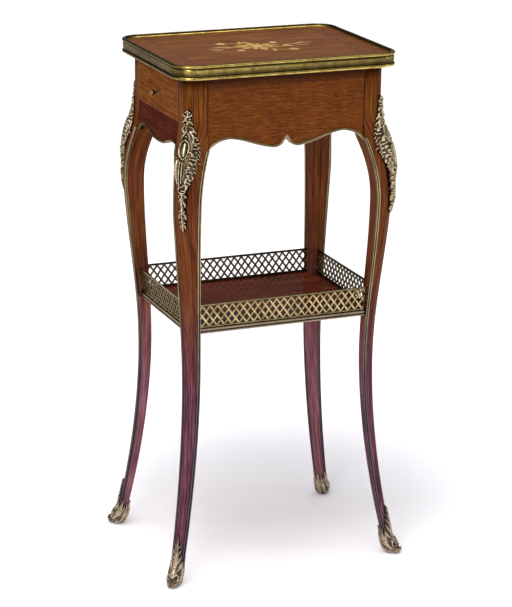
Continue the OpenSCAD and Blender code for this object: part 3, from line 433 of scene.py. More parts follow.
# The points of a section, three to a corner, that lie on the edges of the cant and of the X face.
arris_points = [4, 7, 10]
corners = {"front_left": (-1, -1), "front_right": (1, -1), "back_left": (-1, 1), "back_right": (1, 1)}
for place, (sx, sy) in corners.items():
    rings, around = [], []
    # Each leg's veneer comes from another place of the sheet.
    sheet_place = 300 * sx + 700 * sy
    for z in leg_heights:
        outline = rounded(leg_corners(z), arris)
        rings.append([(sx * p.x, sy * p.y, z) for p in outline])
        steps = [(outline[(j + 1) % len(outline)] - outline[j]).length for j in range(len(outline))]
        around.append(np.concatenate([[0], np.cumsum(steps)]) + sheet_place)
    mesh = loft("leg", rings, leg_heights, around)
    edges = np.zeros((len(rings), len(rings[0])))
    edges[:, arris_points] = 1
    mark(mesh, "arris", edges)
    piece = finish_piece("cabriole_" + place, mesh, leg_wood if sy < 0 else back_leg_wood)
    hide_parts("leg_" + place)

# The case: a front, a back and a right-hand frieze of figured mahogany, tenoned into the posts, with a
# dark string beside each post, and a darker rail below the drawer. Oak rails inside carry the drawer.
def dress(finish, *names):
    """Gives their finish to CAD nodes whose shape stays."""
    for name in names:
        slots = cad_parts[name].data.materials
        slots.clear()
        slots.append(finish)


# Figured mahogany, French polished: reddish brown, short ripples across the board, a soft gloss.
frieze_wood = wood("mahogany_frieze_figured_french_polished", "#472008", "#65330b", "#7c4416",
                   streak=(44, 2.2), line=(12, 1.1), mottle=(12, 26), mottle_depth=0.2, contrast=2.0,
                   gloss=0.06, ledge=ledge_z, seed=0.11)
# The right-hand frieze is of the same mahogany, with longer ripples and hardly any gloss.
end_wood = wood("mahogany_end_figured_french_polished", "#472008", "#65330b", "#7c4416",
                turn=(0, 0, math.pi / 2), streak=(70, 3.0), line=(22, 1.6), mottle=(12, 26),
                mottle_depth=0.18, contrast=1.4, gloss=0.02, ledge=ledge_z, seed=0.27)
# The rail below the drawer is of darker, redder mahogany and shows no gloss in the drawer's shadow.
apron_wood = wood("mahogany_rail_dark_french_polished", "#341410", "#4c2218", "#602e22",
                  turn=(0, 0, math.pi / 2), streak=(50, 3), line=(20, 1.0), gloss=0.0, seed=0.4)
# Dyed holly for the strings: near black, even, almost without grain.
string_wood = wood("dyed_holly_string", "#1c0d07", "#27150b", "#332012", contrast=0.4)
# Planed oak inside, left bare: pale, dry and matt, with coarse open grain.
oak = wood("oak_planed_unpolished", "#8a6a42", "#a98557", "#c09d6d", streak=(60, 3), line=(12, 0.7),
           gloss=0.2, rough=0.6)
dress(frieze_wood, "frieze_front", "frieze_back")
dress(end_wood, "frieze_right")
dress(apron_wood, "drawer_rail")
dress(string_wood, "panel_stringing")
dress(oak, "runner_front", "runner_back", "guide_front", "guide_back", "kicker_front", "kicker_back",
      "drawer_stops")

# The mouldings up the two inner edges of each leg, drawn from brass with two fine beads and a groove
# between them. They run from the shoe's cuff to the moulding under the frieze, pinned and soldered there.
def aged_metal(name, bright, middle, dark, rough=0.3, patch=30, patches=0.5, relief=False, grit=0.4,
               hollows=0.004, foot=None):
    """Old gilt brass, bright gold on its ridges, olive in patches where it was handled less, and nearly
    black in its hollows, or another metal in its own three tones. patch is the size of the patches in
    millimetres and patches how strong they are, relief makes it read the ridges that a mesh marks, and
    hollows is the width in metres of what counts as a hollow. foot is its tone towards the floor. The grit
    of real tarnish is a few hundredths of a millimetre and wouldn't show, so it is as coarse as grit_size."""
    grit_size = 2.4
    floor_reflection_blend = (0.5, 0.25)
    finish = bpy.data.materials.new(name)
    finish.use_nodes = True
    tree = finish.node_tree
    shader = tree.nodes["Principled BSDF"]
    source = add(tree, "ShaderNodeTexCoord").outputs["Object"]
    cloud = add(tree, "ShaderNodeTexNoise", {
        "Vector": source, "Scale": 1000 / patch, "Detail": 5, "Roughness": 0.62, "Distortion": 0.3,
    }).outputs["Fac"]
    specks = add(tree, "ShaderNodeTexNoise", {
        "Vector": source, "Scale": 1000 / grit_size, "Detail": 3, "Roughness": 0.6,
    }).outputs["Fac"]
    hollow = add(tree, "ShaderNodeAmbientOcclusion", {"Distance": hollows}, samples=4, only_local=False)
    open_share = add(tree, "ShaderNodeMapRange", {
        "Value": hollow.outputs["AO"], "From Min": 0.35, "From Max": 0.95,
    }).outputs[0]
    if relief:
        ridge = add(tree, "ShaderNodeAttribute", attribute_name="ridge").outputs["Fac"]
        open_share = add(tree, "ShaderNodeMath", {0: open_share, 1: ridge}, operation="MULTIPLY").outputs[0]
    base = wash(tree, paint(bright), paint(middle), cloud, 0.38, 0.66, most=patches)
    base = wash(tree, base, paint(dark), specks, 0.52, 0.72, most=grit)
    # The tone towards the floor: a painted reflection of the floor.
    if foot:
        height = add(tree, "ShaderNodeSeparateXYZ", {"Vector": source}).outputs["Z"]
        base = wash(tree, base, paint(foot), height, *floor_reflection_blend, most=0.85)
    base = wash(tree, paint(dark), base, open_share, 0.0, 1.0)
    tree.links.new(base, shader.inputs["Base Color"])
    shader.inputs["Metallic"].default_value = 1.0
    shader.inputs["Specular Tint"].default_value = paint("#dcd6cc")
    dull = add(tree, "ShaderNodeMapRange", {
        "Value": cloud, "From Min": 0.3, "From Max": 0.7, "To Min": rough - 0.06, "To Max": rough + 0.16,
    })
    tree.links.new(dull.outputs[0], shader.inputs["Roughness"])
    bump = add(tree, "ShaderNodeBump", {"Height": specks, "Strength": 0.35, "Distance": 0.0002})
    tree.links.new(bump.outputs[0], shader.inputs["Normal"])
    return finish


# Drawn brass, aged: thin pale gold lines on the beads, black in the groove, and a painted plum grey
# reflection of the floor towards it.
moulding_brass = aged_metal("brass_drawn_moulding_aged", "#d2bc8c", "#7e6b4c", "#120b0a", rough=0.26,
                            relief=True, foot="#5a5068")


def sweep(name, path, sides, ups, section, closed=False, worn=None, share=None):
    """A moulding: section, in millimetres along each path point's side and up vectors, run down the path.
    worn says how bright each point of the section is kept, and share how bright each point of the path."""
    rings, along = [], [0.0]
    for k, point in enumerate(path):
        rings.append([point + sides[k] * a + ups[k] * b for a, b in section])
        if k:
            along.append(along[-1] + (point - path[k - 1]).length)
    if closed:
        rings.append(rings[0])
        along.append(along[-1] + (path[0] - path[-1]).length)
    width = np.concatenate([[0], np.cumsum([
        math.dist(section[j], section[(j + 1) % len(section)]) for j in range(len(section))
    ])])
    mesh = loft(name, rings, along, [width] * len(rings), caps=not closed)
    if worn is not None:
        kept = np.ones((len(rings), 1)) * np.array(worn, float)
        mark(mesh, "ridge", kept if share is None else kept * np.array(share, float))
    return mesh


# The section as (across the leg's face from its inner edge, off that face), and how bright each of its
# points is kept.
edge_section = [
    (3.9, -0.5), (3.9, 0.4), (3.3, 1.2), (2.5, 1.5), (1.7, 1.15), (1.2, 0.4), (0.7, 0.4), (0.3, 1.15),
    (-0.4, 1.5), (-1.1, 1.3), (-1.5, 0.6), (-1.5, -0.6), (-1.4, -1.4), (-1.0, -2.1), (-0.5, -2.5),
    (0.5, -2.5), (0.5, -0.5),
]
edge_worn = [0, 0, 0.35, 1, 0.4, 0, 0, 0.3, 0.9, 0.45, 0.1, 0.2, 0.6, 0.4, 0, 0, 0]
edge_bottom = 36.0
# At the two ends the front pair runs up behind the scallop, and the back pair turns in to meet it.
end_rise = 9.0
for place, (sx, sy) in corners.items():
    for k, spring in ((0, spring_x), (1, spring_y)):
        head = spring + (end_rise if k and sy < 0 else 0)
        heights = sorted(
            set(np.linspace(edge_bottom, waist_z, 30)) | set(np.linspace(waist_z, knee_z, 20))
            | set(np.linspace(knee_z, head, 18))
        )
        path, sides, ups = [], [], []
        for z in heights:
            x, y = (inner(z, 0), outer(z, 1)) if k == 0 else (outer(z, 0), inner(z, 1))
            path.append(Vector((sx * x, sy * y, z)))
            sides.append(Vector((sx, 0, 0)) if k == 0 else Vector((0, sy, 0)))
            ups.append(Vector((0, sy, 0)) if k == 0 else Vector((sx, 0, 0)))
        if k and sy > 0:
            ups[-1] = Vector((sx, 0, 1))
            path.append(Vector((sx * (post_x + post_side), path[-1].y, path[-1].z)))
            sides.append(sides[-1])
            ups.append(Vector((0, 0, 1)))
        mesh = sweep("edge", path, sides, ups, edge_section, worn=edge_worn)
        piece = finish_piece(f"edge_bead_{place}_{'xy'[k]}", mesh, moulding_brass)
        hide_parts("edge_trim_" + place)

# The moulding under each frieze and under the rail: one drawn length of the same brass, bent to the
# scallops, let into the lower edge so that it stands a little proud of the face, and pinned.
def smooth_line(points, steps):
    """A smooth curve through a list of points, with that many steps between each two."""
    p = [np.array(q, float) for q in points]
    made = []
    for i in range(len(p) - 1):
        a, b, c, d = p[max(i - 1, 0)], p[i], p[i + 1], p[min(i + 2, len(p) - 1)]
        for k in range(steps):
            u = k / steps
            made.append(0.5 * (2 * b + (c - a) * u + (2 * a - 5 * b + 4 * c - d) * u * u
                               + (3 * b - a - 3 * c + d) * u ** 3))
    return made + [p[-1]]


# Half a scallop as (share of the way to the post, share of the rise), from the middle to the post.
long_scallop = [
    (0, 0.8), (0.03, 0.44), (0.07, 0.16), (0.17, 0), (0.37, 0.33),
    (0.55, 0.76), (0.71, 1), (0.84, 0.84), (0.93, 0.48), (1, 0),
]
short_scallop = [(0, 0), (0.28, 0.16), (0.5, 0.68), (0.7, 1), (0.86, 0.9), (0.95, 0.5), (1, 0)]
trim_wall = 3.5
long_rise, short_rise = 16.5, 11.0
# The section as (up off the lower edge, out from the face), and how bright each of its points is kept.
apron_section = [
    (0, -6), (0, 0.7), (0.35, 1.25), (0.95, 1.5), (1.5, 1.15), (1.75, 0.7), (2.0, 1.15), (2.55, 1.5),
    (3.15, 1.25), (3.5, 0.7), (3.5, -6),
]
apron_worn = [0, 0.3, 0.9, 1, 0.4, 0, 0.4, 1, 0.5, 0.05, 0]
case_x, case_y = post_x + post_side, post_y + post_side
# The four sides: which way a side's pieces run, which way is out, and 0 where they run along X, 1 along Y.
four_sides = {
    "front": (Vector((1, 0, 0)), Vector((0, -1, 0)), 0),
    "back": (Vector((-1, 0, 0)), Vector((0, 1, 0)), 0),
    "left": (Vector((0, -1, 0)), Vector((-1, 0, 0)), 1),
    "right": (Vector((0, 1, 0)), Vector((1, 0, 0)), 1),
}
for name, (run, outward, k) in four_sides.items():
    scallop, rise = (short_scallop, short_rise) if k else (long_scallop, long_rise)
    half, spring, face = (post_y, spring_y, case_x) if k else (post_x, spring_x, case_y)
    line = [np.array((q[0] * half, spring - trim_wall + q[1] * rise)) for q in smooth_line(scallop, 8)]
    line = [np.array((-q[0], q[1])) for q in line[:0:-1]] + line
    path, ups = [], []
    for n, q in enumerate(line):
        before = line[n] - line[n - 1] if n else line[1] - line[0]
        after = line[n + 1] - line[n] if n + 1 < len(line) else before
        before, after = before / np.linalg.norm(before), after / np.linalg.norm(after)
        middle = before + after
        middle = middle / np.linalg.norm(middle)
        normal = Vector((0, 0, middle[0])) - run * middle[1]
        path.append(outward * face + run * q[0] + Vector((0, 0, q[1])))
        ups.append(normal / max(0.6, float(before @ middle)))
    mesh = sweep("apron", path, ups, [outward] * len(path), apron_section, worn=apron_worn)
    piece = finish_piece("apron_bead_" + name, mesh, moulding_brass)
    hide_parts("apron_trim_" + name)

# The drawer in the left end: a mahogany front with lighter, straighter grain and a thin bead round its
# edge, oak sides, back and bottom, and a small turned knob whose stem is held by a nut inside.

# Straight mahogany, French polished but turned from the light: pale brown stripes with no gloss.
drawer_wood = wood("mahogany_drawer_straight_french_polished", "#52290f", "#754421", "#935f33",
                   turn=(0, 0, math.pi / 2), streak=(60, 3), line=(24, 1.2), mottle_depth=0.15,
                   contrast=1.2, gloss=0.0, seed=0.5)
dress(drawer_wood, "drawer_front")
dress(oak, "drawer_side_front", "drawer_side_back", "drawer_back", "drawer_bottom")
drawer_low, drawer_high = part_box("drawer_front")
drawer_face = drawer_low.x / mm
# Kingwood for the bead: a thin line, redder and a little brighter than the front that it frames.
bead_wood = wood("kingwood_cock_bead_polished", "#5a3020", "#7c4a30", "#98664a", line=(20, 0.8), gloss=0.02)
bead_section = [(0, -0.3), (0, 0.5), (0.35, 0.9), (1.15, 0.9), (1.5, 0.5), (1.5, -0.3)]
path, sides = [], []
for sy, sz in ((-1, -1), (1, -1), (1, 1), (-1, 1)):
    y = (drawer_high.y if sy > 0 else drawer_low.y) / mm
    z = (drawer_high.z if sz > 0 else drawer_low.z) / mm
    path.append(Vector((drawer_face, y, z)))
    sides.append(Vector((0, -sy, -sz)))
mesh = sweep("cock_bead", path, sides, [Vector((-1, 0, 0))] * 4, bead_section, closed=True)
finish_piece("drawer_cock_bead", mesh, bead_wood, body="drawer")

# Turned brass, bronzed and worn: a dark little knob with one hard highlight.
knob_brass = aged_metal("brass_knob_bronzed_worn", "#8c7650", "#2e2014", "#0c0705", rough=0.18, patches=1.0,
                        patch=5, grit=0.1)
# The knob's profile as (how far it stands off the drawer's face, radius).
knob_profile = [
    (0.0, 4.6), (0.5, 4.6), (0.9, 4.3), (1.3, 3.7), (1.6, 2.7), (2.2, 2.1), (3.4, 1.7), (4.8, 1.6),
    (5.6, 1.8), (6.1, 2.4), (6.6, 3.0), (7.3, 3.5), (8.3, 3.85), (9.4, 3.9), (10.5, 3.7), (11.5, 3.1),
    (12.2, 2.3), (12.7, 1.3), (12.9, 0.5),
]
knob_low, knob_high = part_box("drawer_knob")
knob_y, knob_z = (knob_low.y + knob_high.y) / 2 / mm, (knob_low.z + knob_high.z) / 2 / mm
knob_steps = 40
rings, around = [], []
for far, radius in knob_profile:
    angles = [math.tau * n / knob_steps for n in range(knob_steps + 1)]
    rings.append([
        (drawer_face - far, knob_y + radius * math.cos(a), knob_z + radius * math.sin(a)) for a in angles[:-1]
    ])
    around.append([radius * a for a in angles])
mesh = loft("knob", rings, [q[0] for q in knob_profile], around)
knob = finish_piece("turned_knob", mesh, knob_brass, body="drawer")
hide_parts("drawer_knob")
# Dull steel, for the nut and the screws inside: plain grey, soft highlights.
steel = aged_metal("steel_screw_dull", "#8a8a8a", "#5e5c58", "#2c2a28", rough=0.45)
dress(steel, "knob_nut")

# The top: an oak core, hidden by its rim and its veneers, and screwed down from inside the case. A field
# and its borders of polished mahogany are glued on with the grain along the table, and fine dark strings
# part them.

# Plain mahogany, French polished and worn: long warm stripes under an even, soft gloss.
field_wood = wood("mahogany_top_french_polished", "#4f260e", "#75441c", "#965f30", streak=(130, 7),
                  line=(60, 3.4), mottle=(40, 16), mottle_depth=0.3, contrast=1.4, gloss=0.04, rough=0.4)
# The borders are cut from another leaf, a little darker and redder, so the eye sees where they join.
border_wood = wood("mahogany_border_french_polished", "#4a240f", "#704220", "#8e5b30", streak=(120, 7),
                   line=(50, 3.0), mottle=(40, 16), mottle_depth=0.3, contrast=1.4, gloss=0.04, rough=0.4,
                   seed=0.3)
dress(field_wood, "field_veneer")
dress(border_wood, "border_veneers")
dress(string_wood, "top_stringing")
dress(oak, "top_core")
dress(steel, "top_screws")

# The inlay in the middle of the top: a spray of leaves in ochre satinwood and blossoms in pale holly,
# sawn with a fine blade and laid flush, with a dark line of glue showing round each piece.
spray_half = (69.0, 53.0)
veneer_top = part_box("field_veneer")[1].z / mm
# Satinwood: ochre gold with a short lively grain, the warmest tone on the top.
leaf_wood = wood("satinwood_leaf_sawn_inlay", "#966624", "#c09440", "#deba6c", line=(12, 0.9), seed=0.7)
# Holly: cream and nearly grainless, with brown only in its darker streaks. Real petals are shaded brown at
# their roots in hot sand.
petal_wood = wood("holly_petal_sand_shaded_inlay", "#a87c40", "#d8b878", "#f6e8c0", line=(8, 0.9), seed=0.9)
dress(leaf_wood, "flower_spray")
# Each piece has a height of its own, so that no two faces fight. Real glue lines are a tenth of a
# millimetre wide and wouldn't show, so they are drawn at half a millimetre.
piece_step, let_in, glue_width = 0.0012, 0.05, 0.5


def inlay(name, outlines, finish, rise):
    """Thin closed pieces of veneer that lie in one plane, rise millimetres above the field."""
    work = bmesh.new()
    for n, outline in enumerate(outlines):
        level = veneer_top + rise + piece_step * n
        low = [work.verts.new((x, y, veneer_top - let_in)) for x, y in outline]
        high = [work.verts.new((x, y, level)) for x, y in outline]
        work.faces.new(high)
        work.faces.new(low[::-1])
        for k in range(len(outline)):
            after = (k + 1) % len(outline)
            work.faces.new((low[k], low[after], high[after], high[k]))
    mesh = bpy.data.meshes.new(name)
    work.to_mesh(mesh)
    work.free()
    finish_piece(name, mesh, finish)


def glue_lines(name, outlines, rise):
    """The dark line round each piece: the same outlines, a little larger, just below them."""
    grown = []
    for outline in outlines:
        ring = [Vector(q) for q in outline]
        area = sum(a.x * b.y - b.x * a.y for a, b in zip(ring, ring[1:] + ring[:1]))
        larger = []
        for k, q in enumerate(ring):
            step = ring[(k + 1) % len(ring)] - ring[k - 1]
            larger.append(tuple(q + Vector((step.y, -step.x)).normalized() * math.copysign(glue_width, area)))
        grown.append(larger)
    inlay(name, grown, string_wood, rise)


def leaf_outline(x, y, degrees, long, wide):
    """A pointed leaf from its root at x, y, widest a little before its middle."""
    turn = math.radians(degrees)
    points = []
    for k in range(20):
        t = k / 10
        s = t if t <= 1 else 2 - t
        half = wide * math.sin(math.pi * s ** 0.8) * (1 if t <= 1 else -1)
        points.append((x + s * long * math.cos(turn) - half * math.sin(turn),
                       y + s * long * math.sin(turn) + half * math.cos(turn)))
    return points


# Leaves as (x, y in shares of the spray's half sizes, the way they point in degrees, scale).
leaf_long, leaf_wide = 25, 4.2
leaf_places = [
    (-0.55, 0.1, 160, 0.88), (-0.5, 0.1, 205, 0.72), (-0.24, 0.44, 75, 0.8), (-0.16, 0.3, 20, 0.76),
    (0.5, -0.16, 350, 0.8), (0.52, -0.14, 30, 0.8), (0.24, -0.44, 255, 0.8), (0.16, -0.34, 200, 0.76),
    (-0.3, 0.1, 265, 0.76), (0.3, -0.1, 85, 0.76), (-0.02, 0.16, 96, 1), (0.02, -0.16, 276, 1),
]
leaves = [leaf_outline(x * spray_half[0], y * spray_half[1], turn, leaf_long * scale, leaf_wide * scale)
          for x, y, turn, scale in leaf_places]
# The rosette's leaves spring from an oval in the middle. Each has its direction in degrees and its length.
oval_x, oval_y, rosette_wide = 11, 7, 4.4
rosette = [leaf_outline(oval_x * math.cos(math.radians(a)), oval_y * math.sin(math.radians(a)), a, long,
                        rosette_wide)
           for a, long in ((8, 27), (38, 22), (70, 17), (112, 19), (146, 23), (174, 28), (212, 22),
                           (248, 18), (292, 17), (330, 23))]
stems = [
    [(-0.88, -0.16), (-0.45, 0.14), (0, 0), (0.45, -0.18), (0.9, 0.12)],
    [(0, 0), (-0.16, 0.36), (-0.4, 0.58), (-0.62, 0.6)],
    [(0, 0), (0.18, -0.38), (0.4, -0.62), (0.62, -0.64)],
]
stem_half = 0.9
stalks = []
for stem in stems:
    curve = smooth_line([(x * spray_half[0], y * spray_half[1]) for x, y in stem], 10)
    left, other = [], []
    for k, q in enumerate(curve):
        step = curve[min(k + 1, len(curve) - 1)] - curve[max(k - 1, 0)]
        side = np.array((-step[1], step[0])) / np.hypot(*step) * stem_half
        left.append(tuple(q + side))
        other.append(tuple(q - side))
    stalks.append(left + other[::-1])
# The last number is how far a layer stands above the field. Its glue lines lie just below it.
inlay("inlay_stalks", stalks, leaf_wood, 0.05)
glue_lines("inlay_rosette_lines", rosette, 0.06)
inlay("inlay_rosette", rosette, leaf_wood, 0.08)
glue_lines("inlay_leaf_lines", leaves, 0.1)
inlay("inlay_leaves", leaves, leaf_wood, 0.12)
sprig_long, sprig_wide = 17, 1.1
sprigs = [leaf_outline(x, y, turn, sprig_long, sprig_wide) for x, y, turn in (
    (-58, -2, 172), (-60, -8, 186), (-56, -11, 200), (-50, 6, 160), (56, 2, 14), (60, 5, -2), (64, 6, 24),
    (74, 6, 6), (56, -8, -14), (66, -6, -4),
)]
glue_lines("inlay_sprig_lines", sprigs, 0.06)
inlay("inlay_sprigs", sprigs, petal_wood, 0.08)
# Blossoms as (x, y in shares of the spray's half sizes, scale), of five petals and an eye each.
blossoms = (
    (0, 0, 0.8), (-0.62, 0.62, 0.6), (0.62, -0.66, 0.6), (0.48, 0.4, 0.5), (-0.48, -0.42, 0.5),
    (-0.1, 0.62, 0.4),
)
blossom_radius, eye_radius = 11, 3.2
petal_out, petal_long, petal_wide = 0.6, 0.42, 0.36
petals, eyes = [], []
for x, y, scale in blossoms:
    radius = blossom_radius * scale
    for k in range(5):
        turn = math.radians(72 * k + 90)
        cx = x * spray_half[0] + petal_out * radius * math.cos(turn)
        cy = y * spray_half[1] + petal_out * radius * math.sin(turn)
        ring = []
        for n in range(18):
            a = math.tau * n / 18
            u, v = petal_long * radius * math.cos(a), petal_wide * radius * math.sin(a)
            ring.append((cx + u * math.cos(turn) - v * math.sin(turn),
                         cy + u * math.sin(turn) + v * math.cos(turn)))
        petals.append(ring)
    eyes.append([(x * spray_half[0] + eye_radius * scale * math.cos(math.tau * n / 14),
                  y * spray_half[1] + eye_radius * scale * math.sin(math.tau * n / 14)) for n in range(14)])
glue_lines("inlay_petal_lines", petals, 0.14)
inlay("inlay_petals", petals, petal_wood, 0.18)
inlay("inlay_blossom_eyes", eyes, leaf_wood, 0.23)

# The rim: two brass castings that meet in the middle of the long sides, held by pins with round heads. A
# lip above and a bead below, both polished by handling, frame a band gone olive, with dark grooves between.

# Cast brass, once polished: clear yellow gold on lip and bead, olive and brown in patches on the band.
rim_brass = aged_metal("brass_cast_rim_polished_aged", "#dcc26a", "#7a6236", "#1c140a", rough=0.2,
                       patches=0.8, patch=16, relief=True, hollows=0.0012)
# Domed brass pins: small, plain and evenly dulled.
pin_brass = aged_metal("brass_pin_domed", "#c8b688", "#8a774e", "#2a2014", rough=0.3)
dress(pin_brass, "rim_pins", "mount_pins")
rim_wall, core_corner = 5.0, 25.0
core_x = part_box("rim_right_half")[1].x / mm - rim_wall
core_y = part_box("rim_right_half")[1].y / mm - rim_wall


def arc(cx, cy, r, a0, a1, n):
    """Points on an arc about cx, cy, in n steps from a0 to a1 degrees."""
    return [(cx + r * math.cos(math.radians(a0 + (a1 - a0) * k / n)),
             cy + r * math.sin(math.radians(a0 + (a1 - a0) * k / n))) for k in range(n + 1)]


# The section as (out from the core, up, how bright it is kept), from the lower bead to the lip's inside.
rim_outline = (
    [(0, 0, 0.0)]
    + [(x, z, w) for (x, z), w in zip(arc(3.5, 2.3, 2.4, -95, 80, 7), (0.3, 0.9, 1, 1, 1, 1, 1, 0.9))]
    + [(3.5, 4.95, 0.3), (3.6, 5.3, 0.08), (4.0, 5.8, 0.1), (4.4, 8.0, 0.16), (4.7, 10.8, 0.5),
       (4.5, 13.4, 1), (4.1, 15.0, 0.8), (3.6, 15.6, 0.15), (3.5, 15.9, 0.06), (3.7, 16.3, 0.1)]
    + [(x, z, w) for (x, z), w in zip(arc(4.0, 18.3, 1.9, -75, 95, 6), (0.15, 0.5, 1, 1, 1, 1, 1))]
    + [(1.2, 20.5, 1), (0.7, 20.3, 0.9), (0.35, 19.9, 0.2), (0.3, 19.2, 0.0), (0.3, 18.4, 0.1),
       (0.0, 17.8, 1), (-0.5, 17.3, 1), (-1.2, 17.0, 1), (-1.5, 16.55, 0.6), (0, 16.5, 0.0)]
)
rim_section = [(x, z) for x, z, _ in rim_outline]
rim_worn = [w for _, _, w in rim_outline]
band = np.array([5.4 < z < 15.5 for _, z in rim_section])
# Painted highlights and dark streaks on the band round a corner, reflections of the soft boxes, by the
# degrees from the end to the long side.
rim_turns = [0, 15, 21, 28, 48, 58, 65, 72, 80, 90]
rim_corner_glints = [0.85, 0.65, 1.1, 0.65, 0.75, 1.3, 1.3, 0.9, 0.85, 1]
# How bright the band, and how bright lip and bead, are drawn from left to right: the band's brighter left is
# a painted reflection. The ends are painted darker, a painted shade on the short sides.
kept_x, band_painted_reflection, lip_kept = [-150, -60, 20, 90], [1, 0.95, 0.7, 0.5], [0.75, 0.8, 0.95, 1]
band_most, end_painted_shade = 0.92, 0.7
for side, sx in (("left", -1), ("right", 1)):
    plan = [(0, core_y, 0, 1)]
    for n in range(19):
        turn = math.radians(90 - 5 * n)
        plan.append((core_x - core_corner + core_corner * math.cos(turn),
                     core_y - core_corner + core_corner * math.sin(turn), math.cos(turn), math.sin(turn)))
    plan += [(x, -y, nx, -ny) for x, y, nx, ny in plan[::-1]]
    path = [Vector((sx * x, y, ledge_z)) for x, y, _, _ in plan]
    outs = [Vector((sx * nx, ny, 0)) for _, _, nx, ny in plan]
    share = []
    for x, _, nx, ny in plan:
        # The band's painted corner highlights and streaks.
        handled = band_most * np.interp(math.degrees(math.atan2(abs(ny), abs(nx))), rim_turns, rim_corner_glints)
        # The band's brighter left half: a painted reflection.
        shaded = np.interp(sx * x, kept_x, band_painted_reflection)
        shone = np.interp(sx * x, kept_x, lip_kept)
        # Painted shade on the short ends.
        share.append((1 - end_painted_shade * abs(nx) ** 3) * np.where(band, handled * shaded, shone))
    mesh = sweep("rim", path, outs, [Vector((0, 0, 1))] * len(path), rim_section, worn=rim_worn, share=share)
    piece = finish_piece("rim_casting_" + side, mesh, rim_brass)
    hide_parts(f"rim_{side}_half")

# The shelf: an oak board notched round the legs, held by a dowel in each, veneered above with darker
# mahogany with painted shade along the gallery, and edged with a brass moulding.
shelf_half = [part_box("shelf_board")[1].x / mm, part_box("shelf_board")[1].y / mm]
# Darker mahogany under a hard French polish: deep red brown that mirrors the gallery, with painted
# shade, nearly black, along its four sides, and darker towards the front.
shelf_wood = wood("mahogany_shelf_french_polished", "#4c1c10", "#6e3020", "#94482c", streak=(110, 7),
                  line=(50, 3.2), mottle=(40, 16), mottle_depth=0.3, contrast=1.2, gloss=0.5, rough=0.13,
                  side_shade=(shelf_half[0] - 4, shelf_half[1] - 4), seed=0.6)
dress(shelf_wood, "shelf_veneer")
dress(oak, "shelf_board", "shelf_dowels")
shelf_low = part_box("shelf_trim")[0].z / mm
shelf_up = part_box("shelf_trim")[1].z / mm - shelf_low
trim_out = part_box("shelf_trim")[1].x / mm - shelf_half[0]
# The moulding's section as (out from the board, up, how bright it is kept). It runs a little way into
# the legs.
shelf_outline = (
    [(0, 0, 0.1), (0.4, 0, 0.6)]
    + [(x, z, w) for (x, z), w in zip(arc(trim_out - 1.5, 1.55, 1.5, -75, 75, 5), (1, 1, 1, 1, 1, 0.7))]
    + [(trim_out - 1.2, 3.2, 0.0), (trim_out - 1.2, 4.1, 0.0), (trim_out - 0.5, 4.4, 0.5),
       (trim_out - 0.2, 5.2, 0.8), (trim_out - 0.3, 6.4, 0.7), (trim_out - 0.6, shelf_up, 0.9),
       (0, shelf_up, 0.1)]
)
shelf_section = [(x, z) for x, z, _ in shelf_outline]
shelf_worn = [w for _, _, w in shelf_outline]
shelf_bite, shelf_bite_z = 1.5, shelf_low + 3
for name, (run, outward, k) in four_sides.items():
    reach = inner(shelf_bite_z, k) + shelf_bite
    edge = outward * shelf_half[1 - k] + Vector((0, 0, shelf_low))
    path = [edge + run * (reach * share) for share in (-1, 1)]
    mesh = sweep("shelf_edge", path, [outward] * 2, [Vector((0, 0, 1))] * 2, shelf_section, worn=shelf_worn)
    piece = finish_piece("shelf_moulding_" + name, mesh, moulding_brass)
    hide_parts("shelf_trim")

# The gallery: four panels of pierced trellis, cast in brass, each with a rail at its foot and its top.
# They stand on the shelf between the legs, let into them at both ends, and lean out a little.

# Cast brass, aged: pale gold where the bars are rubbed, dark between them, and painted darker on the left
# panel as shade.
trellis_brass = aged_metal("brass_cast_trellis_aged", "#d2be8a", "#7c6a42", "#1c140b", rough=0.22, patch=8,
                           patches=0.9, relief=True, grit=0.3)
shelf_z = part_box("shelf_veneer")[1].z / mm
gallery_height, rail_height, gallery_wall, lozenge = 36.0, 3.0, 1.8, 11.3
gallery_lean = math.radians(5)
gallery_in = gallery_wall + 0.8
gallery_bite, bar_bite = 2.0, 1
# The lozenges are shared out over a run this much longer than the gap between the legs, at each end.
lozenge_over = 11.0
# The bars that rise to the right lie a little further back and are painted darker, a painted shade, and the
# whole left panel is painted darker still.
bar_back, rising_bar_shade, left_panel_shade, panel_kept = 0.12, 0.75, 0.28, 0.9
